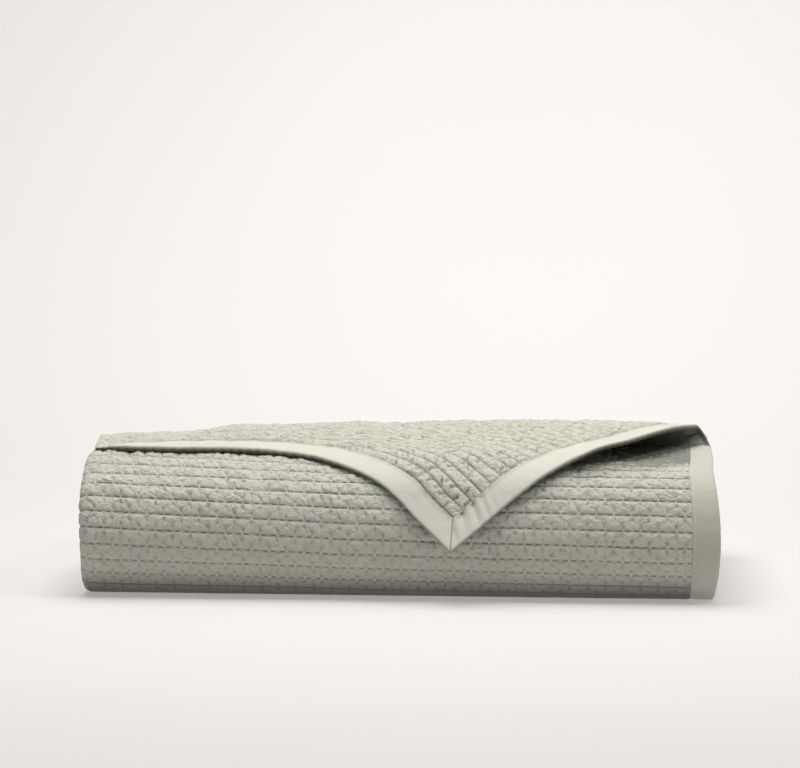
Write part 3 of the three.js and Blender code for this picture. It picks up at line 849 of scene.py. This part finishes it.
def strip_path():
    """Stations of the whole four-ply strip"""
    out = []

    def turn(y0, z0, r, start, stop, steps, side, slip_a, slip_b):
        for i in range(1, steps):
            a = math.radians(mix(start, stop, i / steps))
            c, s = math.cos(a), math.sin(a)
            slip = mix(SLIP[slip_a], SLIP[slip_b], i / steps)
            out.append((y0 + r * c, z0 + r * s, side * c, side * s, slip, NO_V))

    def span(a, b, step=FLAT_STEP):
        return np.linspace(a, b, max(2, int(abs(b - a) / step) + 1))

    front, back = FRONT_FOLD_Y, BACK_FOLD_Y
    out += flat("top_outer", 1, span(END_Y - HEM, FLAT_Y)[:-1])
    for v in span(0, CURVE_LENGTH, CURVE_STEP):
        y, z, ny, nz = on_surface(v)
        out.append((y - ny * HALF, z - nz * HALF, ny, nz, 0, v))
    for y in span(CURVE[-1, 0], back)[1:]:
        out.append((y, HALF, 0, -1, 0, CURVE_LENGTH + y - CURVE[-1, 0]))
    turn(back, MID_BACK, BIG_TURN, -90, 90, BIG_STEPS, 1, "bottom_outer", "middle_outer")
    out += flat("middle_outer", 1, span(back, front))
    turn(front, MID_TOP, SMALL_TURN, 90, 270, SMALL_STEPS, 1, "middle_outer", "middle_inner")
    out += flat("middle_inner", -1, span(front, back))
    turn(back, MID_BACK, SMALL_TURN, 90, -90, SMALL_STEPS, -1, "middle_inner", "bottom_inner")
    out += flat("bottom_inner", 1, span(back, front))
    turn(front, MID_TOP, BIG_TURN, -90, -270, BIG_STEPS, -1, "bottom_inner", "top_inner")
    out += flat("top_inner", -1, span(front, INNER_END_Y - HEM))
    return np.array(out, float)


PATH = strip_path()
PATH_RUN = lengths(PATH)
LOOP_STOPS = (40, 66, 92, 190, 320, 440)


def arc(x, n, r, start, stop, steps):
    angles = [math.radians(mix(start, stop, i / steps)) for i in range(steps + 1)]
    return [(x + r * math.cos(a), n + r * math.sin(a)) for a in angles]


def quarter_loop():
    """Four plies folded in quarters. Columns: x, n, moves with the outer edge,
    on the outer face, on a left arc"""
    left, right = HALF, WIDTH - PITCH - 3
    mid, near, far = AIR / 2, PITCH - AIR / 2, PITCH + AIR / 2

    def plain(places):
        return [(x, n, 0, 0, 0) for x, n in places]

    def line(n, first, last):
        stops = LOOP_STOPS if first < last else LOOP_STOPS[::-1]
        return plain((x, n) for x in (first, *stops, last))

    outer = enumerate(arc(left, 0, HALF, 90, 270, 18))
    out = [(0, HALF, 1, 1, 0), (left + 2, HALF, 0, 1, 0)]
    out += [(x, n, 0, i < 12, 1) for i, (x, n) in outer]
    out += line(-HALF, left + 3, right - 3) + plain(arc(right, -PITCH, near, -90, 90, 10))
    out += line(-mid, right, left)[1:] + line(mid, left, SEAM_X) + line(near, SEAM_X, left + 2)
    out += plain(arc(left, 0, near, 90, 270, 12))
    out += line(-near, left + 3, right) + line(-far, right, left + 3)
    out += plain(arc(left, 0, far, 270, 90, 12)) + [(left + 2, far, 0, 0, 0), (0, far, 1, 0, 0)]
    return np.array(out, float)


def sweep_loop(loop, path, edge_x, inset, ring):
    """Points of a loop moved along the path; edge_x is the outer edge's x"""
    x0, n0, moves, outer, on_arc = loop.T
    x = x0[None, :] + moves[None, :] * edge_x[:, None]
    n = np.broadcast_to(n0[None, :], x.shape)
    scale = (ring[:, None] - inset[:, None] * outer[None, :]) / HALF
    x = x + np.where(on_arc > 0, x - HALF, 0) * scale
    n = n + np.where(on_arc > 0, n, 0) * scale
    n = n - np.where((outer > 0) & (on_arc == 0), inset[:, None], 0)
    y, z, ny, nz, slip = path[:, :5].T[:, :, None]
    return settle(x + slip, y + ny * n, z + nz * n)


def closed_sweep(name, points, loop, edges, kind, shade_marks):
    """Skin of a swept loop with filled ends; edges holds the outer edge's x at
    its two ends"""
    rows, cols = points.shape[:2]
    obj = make_mesh(name, points, grid_faces(rows, cols, wrap=True), kind, shade_marks)
    bm = bmesh.new()
    bm.from_mesh(obj.data)
    bm.verts.ensure_lookup_table()
    last = (rows - 1) * cols
    for base, edge_x, order in ((0, edges[0], (0, 1, 2)), (last, edges[1], (0, 2, 1))):
        end = [Vector((x + (edge_x if moves else 0), n, 0)) for x, n, moves in loop[:, :3]]
        for corners in tessellate_polygon([end]):
            try:
                bm.faces.new([bm.verts[base + corners[k]] for k in order])
            except ValueError:
                pass
    bmesh.ops.recalc_face_normals(bm, faces=bm.faces)
    bm.to_mesh(obj.data)
    bm.free()
    return obj


loop = quarter_loop()
v = PATH[:, 5]
fold_u = FOLD_LEFT[0] + (v - FOLD_LEFT[1]) * ALONG[0] / ALONG[1]
edge_x = np.where(v < -100, np.clip(fold_u, LEFT_STAY + 0.5, SEAM_X), SEAM_X)
covered = (v < FACE_LAST_V - 6) & (v > FOLD_LEFT[1])
inset = np.where(covered, STACK_INSET, 0.0)
row_share = np.mod(PATH_RUN / ROW, 1.0)
near_row = np.minimum(row_share, 1 - row_share) * ROW
ring = 0.35 - 0.9 * bump(near_row / 1.6)
points = above(sweep_loop(loop, PATH, edge_x, inset, ring), LOW_STACK)
# Painted shade in the row creases round the left folds
ring_shade_mark = bump(near_row / 0.9)[:, None] * (loop[None, :, 4] > 0)
folded_stack = closed_sweep(
    "folded_stack", points, loop, (edge_x[0], edge_x[-1]), CLOTH, 0.7 * ring_shade_mark
)


def top_behind():
    """Next ply down, which shows behind the turned-back corner"""
    last_v = FLAT_Y - (END_Y - HEM)
    cols = aligned(LEFT_STAY + 1, SEAM_X, COLUMN, BACK_COLUMN_PARTS)
    cols = np.unique(np.concatenate([cols, [LEFT_STAY + 0.6, SEAM_X]]))
    rows = np.unique(np.concatenate([aligned(last_v, -118.0, ROW, BACK_ROW_PARTS), [last_v]]))
    x, v = np.meshgrid(cols, rows)
    v = np.minimum(v, fold_v(x) + 12)
    height, crease, shade_mark = back_quilting(v / ROW, x / COLUMN, 29)
    inside = np.minimum(ease((v - last_v) / 2.5), ease((SEAM_X - x) / 2.5))
    rise = mix(0.05, 1.5 * height - 0.5 * crease + 0.65, inside)
    points = settle(x, FLAT_Y - v, LAYER["top_outer"] + (PITCH - AIR / 2) + rise)
    # Painted shade in its creases and puckers, and along the edges where it runs under the other
    # cloth
    return sheet_mesh("top_behind_fold", points, 0.8 * np.maximum(shade_mark, 1 - inside))


def back_roll():
    """Outer ply round the big fold at the back"""
    radius = BIG_TURN + HALF
    length = math.pi * radius
    rows = aligned(-30.0, length + 8, ROW, BACK_ROW_PARTS)
    w, r = np.meshgrid(face_columns(BACK_COLUMN_PARTS), rows)
    height, crease, shade_mark = front_quilting(r / ROW, (w + HALF) / COLUMN, 53)
    rise = 1.5 * height - 0.5 * crease + 0.05
    rise = rise * ease((r - 8) / 25) * ease((length - 4 - r) / 14) + 0.06
    rise = mix(rise, 0.0, ease((w - (FACE_RIGHT - 2.6)) / 2.6))
    rise = mix(rise, -0.6, ease((FACE_LEFT + 4 - w) / 4))
    x, up = left_roll(w, rise)
    a = np.clip(r / radius, 0, math.pi) - math.pi / 2
    y = BACK_FOLD_Y + (BIG_TURN + up) * np.cos(a) + np.minimum(r, 0) - np.maximum(r - length, 0)
    slip = SLIP["middle_outer"] * np.clip(r / length, 0, 1)
    points = above(settle(x + slip, y, MID_BACK + (BIG_TURN + up) * np.sin(a)), LOW_BACK)
    faces = grid_faces(*points.shape[:2])
    # Painted shade in its creases
    return make_mesh("back_face", points, faces, CLOTH, 0.8 * shade_mark)


top_face = top_behind()
back_face = back_roll()

# Section of a binding, turned under at its outer edge. Columns: across from the seam, height,
# share of the upper relief, share of the lower edge, which also takes painted shade
BIND_ACROSS = (0.0, 0.5, 1.2, 2.4, 4.5, 7.5, 11, 14.5, 18, 20.5, 22.3)
BIND = np.array([(across, HEM_PLY / 2, 1, 0) for across in BIND_ACROSS] + [
    (23.4, 2.06, 0.9, 0), (24.4, 1.7, 0.7, 0.1), (25.0, 1.0, 0.4, 0.3), (25.25, 0.1, 0.2, 0.5),
    (25.1, -0.9, 0, 0.8), (24.6, -1.9, 0, 1), (23.6, -2.6, 0, 1), (22.0, -2.75, 0, 1),
    (19.5, -2.5, 0, 0.8), (16, -2.2, 0, 0.2), (11, -2.1, 0, 0), (6, -2.1, 0, 0),
    (0.6, -2.1, 0, 0), (0.0, -1.7, 0, 0),
])
WAVES = rng.rand(26, 4)
# Run at the tip of a binding that has ridges there
RIDGED_TIP = 300.0


def pucker(run, across, strong, ridged):
    """Cross puckers of a binding: run along it, across from its seam"""
    out = 0.0
    for a, b, c, d in WAVES:
        phase = 2 * math.pi * (run + (c - 0.5) * 10 * across / HEM) / (9.0 + 34.0 * a)
        out = out + (0.35 + 0.65 * b) * np.sin(phase + 40 * d)
    out = out / len(WAVES)**0.5
    rise = 0.30 * strong * out * (1 - 0.5 * ease(across / HEM))
    if ridged:
        far = run - RIDGED_TIP
        ridge = np.sin(2 * math.pi * (far + 0.45 * across + 2.2 * np.sin(far / 9)) / 12.5 + 0.6)
        hold = ease((far - 10) / 10) * ease((78 - far) / 40)
        rise = rise + 1.9 * ridge * np.abs(ridge) ** 0.7 * hold * mix(1.0, 0.3, ease(across / HEM))
    return rise


def bind_shape(run, across, up, strong, ridged=False, rim=0.0):
    rise = pucker(run, across, strong, ridged)
    seam = 0.15 * bump(across / 1.0) + 0.3 * bump((across - 2.2) / 0.6)
    scallop = 1.3 * np.abs(np.sin(math.pi * (run + 1.5 * np.sin(run / 19)) / 8.7)) - 0.5
    return rise * up - seam * up - scallop * rim


# Painted shade along the seam of a binding
def binding_shade_mark(across, up):
    return np.clip(0.28 * bump(across / 0.7) + 0.14 * bump((across - 2.2) / 0.6), 0, 1) * up


def bind_columns(rows):
    """Columns of the binding's section, each for a number of stations"""
    return (np.broadcast_to(BIND[:, i], (rows, len(BIND))) for i in range(4))


def mitre_start(across):
    """Length from the tip at which a binding of the corner starts"""
    return (1 - across / HEM) * seam_of_side(0.0) + 0.12


def mitred(far, across, up, rim):
    """Groove of the mitre, and painted shade of a binding along its seam, in the mitre and on its
    turned-under rim; far is the length from there
    """
    shade_mark = np.maximum(binding_shade_mark(across, up), 0.35 * bump(far / 0.45) * up)
    return 0.3 * bump(far / 1.0) * up, np.maximum(shade_mark, np.clip(1.4 * rim, 0, 0.95))


def end_share(p):
    return np.clip((p - HEM) / (END_LENGTH - HEM), 0, 1)


def flap_end_binding():
    rho = np.linspace(0, 1, 290)
    across, side, up, rim = bind_columns(len(rho))
    start = mitre_start(across)
    p = mix(start, END_LENGTH + 1.0, rho[:, None])
    q = (1 - across / HEM) * seam_of_end(p)
    groove, shade_mark = mitred(p - start, across, up, rim)
    n = side + bind_shape(p, across, up, 1.0, rim=rim) - groove - droop(p, q) * up
    return on_flap(p, q, n, end_share(p)), shade_mark


def flap_side_binding():
    rho = np.linspace(0, 1, 230)
    across, side, up, rim = bind_columns(len(rho))
    start = mitre_start(across)
    q = mix(start, fold_at(HEM - across), rho[:, None])
    p = (1 - across / HEM) * seam_of_side(q)
    q_fold = fold_at(p)
    q = np.minimum(q, q_fold)
    groove, shade_mark = mitred(q - start, across, up, rim)
    n = side + bind_shape(q + RIDGED_TIP, across, up, 1.1, True, rim) - groove
    sheet = on_flap(p, q, n, np.zeros_like(p))
    step = turn_grid(BINDING_TURN_STEPS, len(BIND))
    share = across[-1] / HEM
    pleat = bump((step - 0.55 + 0.25 * share) / 0.035)
    pleat = pleat + 0.9 * bump((step - 0.93 + 0.17 * share) / 0.03)
    n = side[-1] + bind_shape(q_fold[-1] + RIDGED_TIP, across[-1], up[-1], 1.1)
    n = n - 1.6 * pleat * up[-1]
    turn = on_turn(np.broadcast_to(p[-1], step.shape), step, n, np.zeros_like(step))
    # Painted shade on the binding's turn inside the fold, darkest in its pleats
    painted_shade = 0.62 * ease(step / 0.2) * ease((0.98 - step) / 0.1) - 0.2 * step + 0.6 * pleat
    turn_shade_mark = np.maximum(np.clip(painted_shade, 0, 1), shade_mark[-1])
    return np.concatenate([sheet, turn]), np.concatenate([shade_mark, turn_shade_mark])


def tube_faces(points):
    """Closed skin of a swept section, its ends closed with strips"""
    rows, cols = points.shape[:2]
    ends = []
    for base, order in ((0, -1), ((rows - 1) * cols, 1)):
        for i in range(math.ceil((cols - 3) / 2)):
            j = cols - 1 - i
            ends.append([base + i, base + i + 1, base + j - 1, base + j][::order])
    return np.concatenate([grid_faces(rows, cols, wrap=True), np.array(ends)])


def body_binding(width, middle, rows):
    """Side binding along stations of the strip. width is its outer x, middle its n"""
    across, side, up, _ = bind_columns(len(rows))
    run = lengths(rows)[:, None]
    tooth = 0.45 * np.abs(np.mod(run / 3.3, 1) * 2 - 1) * ease((across - 22) / 3)
    x = SEAM_X - 0.1 + across * (width - SEAM_X + 0.1) / HEM - tooth
    tick = 0.22 * np.sin(2 * math.pi * (run + 2 * np.sin(run / 11) + 0.25 * across) / 5.3)
    tick = tick * ease((across - 2) / 5)
    n = middle + side + bind_shape(run + 900, across, up, 0.8) + tick * up
    y, z, ny, nz, slip, v = rows.T[:, :, None]
    y = y + ny * n
    if middle > PITCH:
        y = np.where(v < 0, np.minimum(y, FLAT_Y - fold_v(x, FOLD_RIGHT)), y)
    points = above(settle(x + slip, y, z + nz * n), LOW_BINDING)
    # Painted shade along the seam, and a little painted shade all over this binding
    return points, np.maximum(binding_shade_mark(across, up), 0.2)


def with_ends(head):
    """Path with the length of binding at its end, and at its start if head is set"""
    tops = flat("top_outer", 1, np.linspace(END_Y, END_Y - HEM + 2, 10)) if head else []
    inner = flat("top_inner", -1, np.linspace(INNER_END_Y - HEM + 2, INNER_END_Y, 10))
    return np.array([*tops, *PATH, *inner])


points, shade_mark = flap_end_binding()
flap_end = make_mesh("corner_end_binding", points, tube_faces(points), BINDING, shade_mark)
long_path = with_ends(False)
first = int(np.argmax(long_path[:, 5] > FOLD_RIGHT[1] - 8))
points, faces, shade_marks = joined([
    (points, tube_faces(points), shade_mark)
    for points, shade_mark in (
        flap_side_binding(), body_binding(WIDTH, 1.5 * PITCH, long_path[first:]),
    )
])
outer_side = make_mesh("outer_side_binding_cloth", points, faces, BINDING, shade_marks)
points, shade_mark = body_binding(WIDTH - 1.5, 0.5 * PITCH, with_ends(True))
inner_side = make_mesh("inner_side_binding_cloth", points, tube_faces(points), BINDING, shade_mark)


def end_binding(name, layer, nz, last_y, edge_x):
    """Binding of a short side, folded in quarters with the cloth"""
    ys = np.concatenate([np.linspace(last_y - HEM - 0.2, last_y - 2, 12), [last_y - 0.7, last_y]])
    shrink = np.full(len(ys), 0.35)
    shrink[-2:] = (0.55, 0.95)
    shrink[0] = 0.7
    loop = quarter_loop()
    centre = np.where(np.abs(loop[:, 1]) > PITCH, 1.5 * PITCH, 0.5 * PITCH)
    centre = centre * np.sign(loop[:, 1] + 1e-9)
    points = []
    for y, less in zip(ys, shrink):
        now = loop.copy()
        now[:, 1] = centre + (loop[:, 1] - centre) * (1 - less / (PLY / 2))
        row = np.array(flat(layer, nz, [y]))
        points.append(sweep_loop(now, row, np.array([edge_x]), np.zeros(1), np.zeros(1))[0])
    points = np.array(points)
    shade_marks = np.zeros(points.shape[:2])
    return closed_sweep(name, points, loop, (edge_x, edge_x), BINDING, shade_marks)


top_end = end_binding("top_end_binding_cloth", "top_outer", 1, END_Y, HALF + 1)
inside_end = end_binding("inside_end_binding_cloth", "top_inner", -1, INNER_END_Y, SEAM_X)

THREAD_SIDES = 6
THREAD_CAPS = np.array([[3, 2, 1, 0], [5, 4, 3, 0], [0, 1, 2, 3], [0, 3, 4, 5]])


def tubes(name, centre, normal, radius, slot):
    """Short threads. centre and normal are (count, points, 3) in metres"""
    count, size = centre.shape[:2]
    tangent = np.gradient(centre, axis=1)
    tangent /= np.linalg.norm(tangent, axis=2, keepdims=True) + 1e-12
    side = np.cross(tangent, normal)
    side /= np.linalg.norm(side, axis=2, keepdims=True) + 1e-12
    up = np.cross(side, tangent)
    a = (np.arange(THREAD_SIDES) * 2 * math.pi / THREAD_SIDES)[None, None, :, None]
    points = centre[:, :, None, :] + radius[None, :, None, None] * (
        np.cos(a) * side[:, :, None, :] + np.sin(a) * up[:, :, None, :]
    )
    caps = THREAD_CAPS + np.array([0, 0, 1, 1])[:, None] * (size - 1) * THREAD_SIDES
    one = np.concatenate([grid_faces(size, THREAD_SIDES, wrap=True), caps])
    faces = one[None] + (np.arange(count) * size * THREAD_SIDES)[:, None, None]
    return make_mesh(name, points, faces.reshape(-1, 4), (THREAD, slot))


def placed(fn, lift, *at):
    """Centre line and normal of threads on a surface fn(*at, lift)"""
    low = fn(*at, lift)
    normal = fn(*at, lift + 1.0) - low
    return low, normal / np.linalg.norm(normal, axis=2, keepdims=True)


# Shape of a stitch: height, radius in metres, and place along its half length
ARCH = np.array([-0.45, 0.2, 0.34, 0.2, -0.45])
TAPER = np.array([0.16, 0.34, 0.38, 0.34, 0.16]) / 1000
ALONG_STITCH = np.array([-1, -0.68, 0, 0.68, 1])
# Seam stitches: pitch, half length, and distance from the seam of the binding
SEAM_PITCH, SEAM_HALF, SEAM_IN = 3.1, 1.1, 1.9


def on_face(u, v, lift):
    rise, _ = face_relief(u - HALF, v)
    return settle(*outer_point(u - HALF, v, rise + lift))


def face_stitches():
    """Plus signs and running stitches of the front, row by row"""
    wobble = np.random.RandomState(7)
    lines_u, lines_v = [], []
    for k in range(-9, 10):
        for j in range(0, 70):
            u0 = j * COLUMN
            if u0 < 2 or u0 > SEAM_X - 3.5:
                continue
            v0 = float(v_of(k, u0))
            if v0 > 186 or v0 < -75 or (v0 < -10 and u0 < 440):
                continue
            du, dv = wobble.uniform(-0.35, 0.35, 2)
            upright = (k + j) % 2 == 0
            us = u0 + du + ((2.2 if upright else 3.1) + wobble.uniform(-0.35, 0.35)) * ALONG_STITCH
            lines_u.append(us)
            lines_v.append(v_of(k, us) + 0.12 * wobble.uniform(-1, 1))
            if upright:
                tall = (2.6 if 0 < k < 4 else 3.5) + wobble.uniform(-0.4, 0.4)
                lean = wobble.uniform(-0.5, 0.5)
                lines_u.append(u0 + du * 0.4 + lean * ALONG_STITCH)
                lines_v.append(v0 + dv + tall * ALONG_STITCH)
    u, v = np.array(lines_u), np.array(lines_v)
    sunk = 0.62 * ease((v - 150) / 12) + 0.9 * ease(2 * sheltered(u, v))
    centre, normal = placed(on_face, ARCH[None, :] * 0.8 - sunk, u, v)
    return tubes("face_stitches", centre, normal, TAPER, "quilted_cloth")


def on_corner(p, q, lift):
    rise, _ = corner_relief(p, q)
    return on_flap(p, q, PLY / 2 + rise + lift, flap_share(p, q))


def corner_stitches():
    """Running stitches along the rows of the corner"""
    wobble = np.random.RandomState(19)
    ps, qs = [], []
    for k in range(1, 32):
        q0 = HEM + k * CORNER_ROW
        p0 = HEM + 2.0
        while p0 < LEFT_COLUMN:
            size = 1.45 + wobble.uniform(-0.25, 0.25)
            mid = p0 + size
            if q0 < float(fold_at(mid)) - 1 and q0 > float(low_q(mid)) + 1.5:
                ps.append(mid + size * ALONG_STITCH)
                qs.append(q0 + wobble.uniform(-0.15, 0.15) + 0 * ALONG_STITCH)
            p0 += 2 * size + 1.1
    centre, normal = placed(on_corner, ARCH[None, :] * 0.5, np.array(ps), np.array(qs))
    return tubes("corner_stitches", centre, normal, TAPER * 0.7, "quilted_cloth")


def seam_stitches():
    """Fine stitches that hold the bindings, on the binding beside its seam"""

    def end_line(p, lift):
        q = seam_of_end(p) * (1 - SEAM_IN / HEM)
        n = HEM_PLY / 2 + bind_shape(p, SEAM_IN, 1.0, 1.0) + lift - droop(p, q)
        return on_flap(p, q, n, end_share(p))

    def side_line(q, lift):
        p = seam_of_side(q) * (1 - SEAM_IN / HEM)
        n = HEM_PLY / 2 + bind_shape(q + RIDGED_TIP, SEAM_IN, 1.0, 1.1, True) + lift
        return on_flap(p, q, n, 0 * q)

    def body_line(v, lift):
        y, z, ny, nz = on_surface(v)
        n = 1.5 * PITCH + HEM_PLY / 2 - HALF - 0.3 + lift
        return settle(SEAM_X + SEAM_IN + 0 * v, y + ny * n, z + nz * n)

    runs = (
        (end_line, HEM, END_LENGTH - 3), (side_line, HEM, SIDE_LENGTH - 6),
        (body_line, -100.0, 190.0),
    )
    threads = [
        placed(
            fn, ARCH[None, :] * 0.5,
            np.arange(start, stop, SEAM_PITCH)[:, None] + SEAM_HALF * ALONG_STITCH[None, :],
        )
        for fn, start, stop in runs
    ]
    centre, normal = (np.concatenate(part) for part in zip(*threads))
    return tubes("seam_stitches", centre, normal, TAPER * 0.62, "binding")


face_threads = face_stitches()
corner_threads = corner_stitches()
seam_threads = seam_stitches()

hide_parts("quilt_cloth")
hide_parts("outer_side_binding")
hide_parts("inner_side_binding")
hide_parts("flap_end_binding")
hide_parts("top_end_binding")
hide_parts("inside_end_binding")


def stage_material():
    """Warm white with painted light: a painted pool of light makes it a little brighter in the
    middle, and it glows, more strongly far back, which keeps shadows on it faint
    """
    mat, tree, shader = new_material("pale_floor")
    at = add_node(tree, "TexCoord", {}, "Object")
    shift = {"Location": (0.0, -0.10, -0.42), "Scale": (0.95, 0.10, 0.95), "Vector": at}
    round_ = add_node(
        tree, "TexGradient", {"Vector": add_node(tree, "Mapping", shift, "Vector")}, "Fac",
        gradient_type="SPHERICAL",
    )
    pale = ((0.680, 0.650, 0.624), (0.735, 0.722, 0.712))
    colour = colour_ramp(tree, round_, (0.0, 0.75), pale)
    # Base colour dimmed: much of the floor's brightness is a glow that stands in for light
    dim = {"Factor": 0.38, "A": colour, "B": (0.0, 0.0, 0.0, 1)}
    far = {
        "From Min": 0.1, "From Max": 2.3, "To Min": 0.44, "To Max": 0.88,
        "Value": add_node(tree, "SeparateXYZ", {"Vector": at}, "Y"),
    }
    feed(tree, shader, {
        "Roughness": 0.95, "Specular IOR Level": 0.1, "Emission Color": colour,
        "Base Color": add_node(tree, "Mix", dim, "Result", data_type="RGBA"),
        "Emission Strength": add_node(
            tree, "MapRange", far, "Result", interpolation_type="SMOOTHSTEP"
        ),
    })
    return mat


def backdrop():
    """Floor that curves up into a wall behind the quilt"""
    start, bend = 1.2, 1.3
    profile = [(-6.0, 0.0), (-2.0, 0.0), (0.5, 0.0), (start, 0.0)]
    for i in range(1, 25):
        a = math.pi / 2 * i / 24
        profile.append((start + bend * math.sin(a), bend - bend * math.cos(a)))
    profile += [(2.5, 2.5), (2.5, 4.5)]
    xs = np.linspace(-5, 5, 11)
    points = [[(x, y, z) for x in xs] for y, z in profile]
    faces = grid_faces(len(profile), len(xs))
    smooth_object("floor", points, faces, stage_material())


def area_light(name, place, size, power):
    """Rectangular light aimed at the middle of the floor"""
    data = bpy.data.lights.new(name, "AREA")
    data.shape = "RECTANGLE"
    data.size, data.size_y = size
    data.energy = power
    data.color = (1.0, 0.99, 0.97)
    obj = add_object(name, data)
    obj.location = place
    obj.rotation_euler = (-Vector(place)).to_track_quat("-Z", "Y").to_euler()


def soft_world():
    scene = bpy.context.scene
    if scene.world is None:
        scene.world = bpy.data.worlds.new("studio")
    scene.world.use_nodes = True
    inputs = scene.world.node_tree.nodes["Background"].inputs
    inputs["Color"].default_value = (1.0, 0.985, 0.965, 1)
    inputs["Strength"].default_value = 0.15


def photo_camera():
    """Low view from the front, a little to the right. Focal length and the aim
    beside the picture's middle are in pixels of a picture 800 wide"""
    yaw, tilt = math.radians(5.6702), math.radians(6.0)
    distance, focal = 3.05795, 3318.3
    aim_right, aim_up = -3.05, 146.0
    target = Vector((0.00565, -0.1365, 0.060))
    level = math.cos(tilt)
    away = Vector((math.sin(yaw) * level, -math.cos(yaw) * level, math.sin(tilt)))
    front = -away
    right = front.cross(Vector((0, 0, 1))).normalized()
    up = right.cross(front)
    look = (front * focal + right * aim_right + up * aim_up).normalized()
    side = look.cross(Vector((0, 0, 1))).normalized()
    top = side.cross(look)
    data = bpy.data.cameras.new("camera")
    data.sensor_width = 36.0
    data.lens = focal * data.sensor_width / 800.0
    data.clip_end = 50.0
    obj = add_object("camera", data)
    turn = Matrix((side, top, -look)).transposed()
    obj.matrix_world = Matrix.Translation(target + away * distance) @ turn.to_4x4()
    bpy.context.scene.camera = obj


backdrop()
bpy.context.scene.view_settings.view_transform = "Standard"
area_light("overhead", (-0.1, 0.0, 1.7), (1.9, 1.1), 37.0)
area_light("key", (1.3, -0.55, 1.6), (0.5, 0.5), 9.5)
soft_world()
photo_camera()
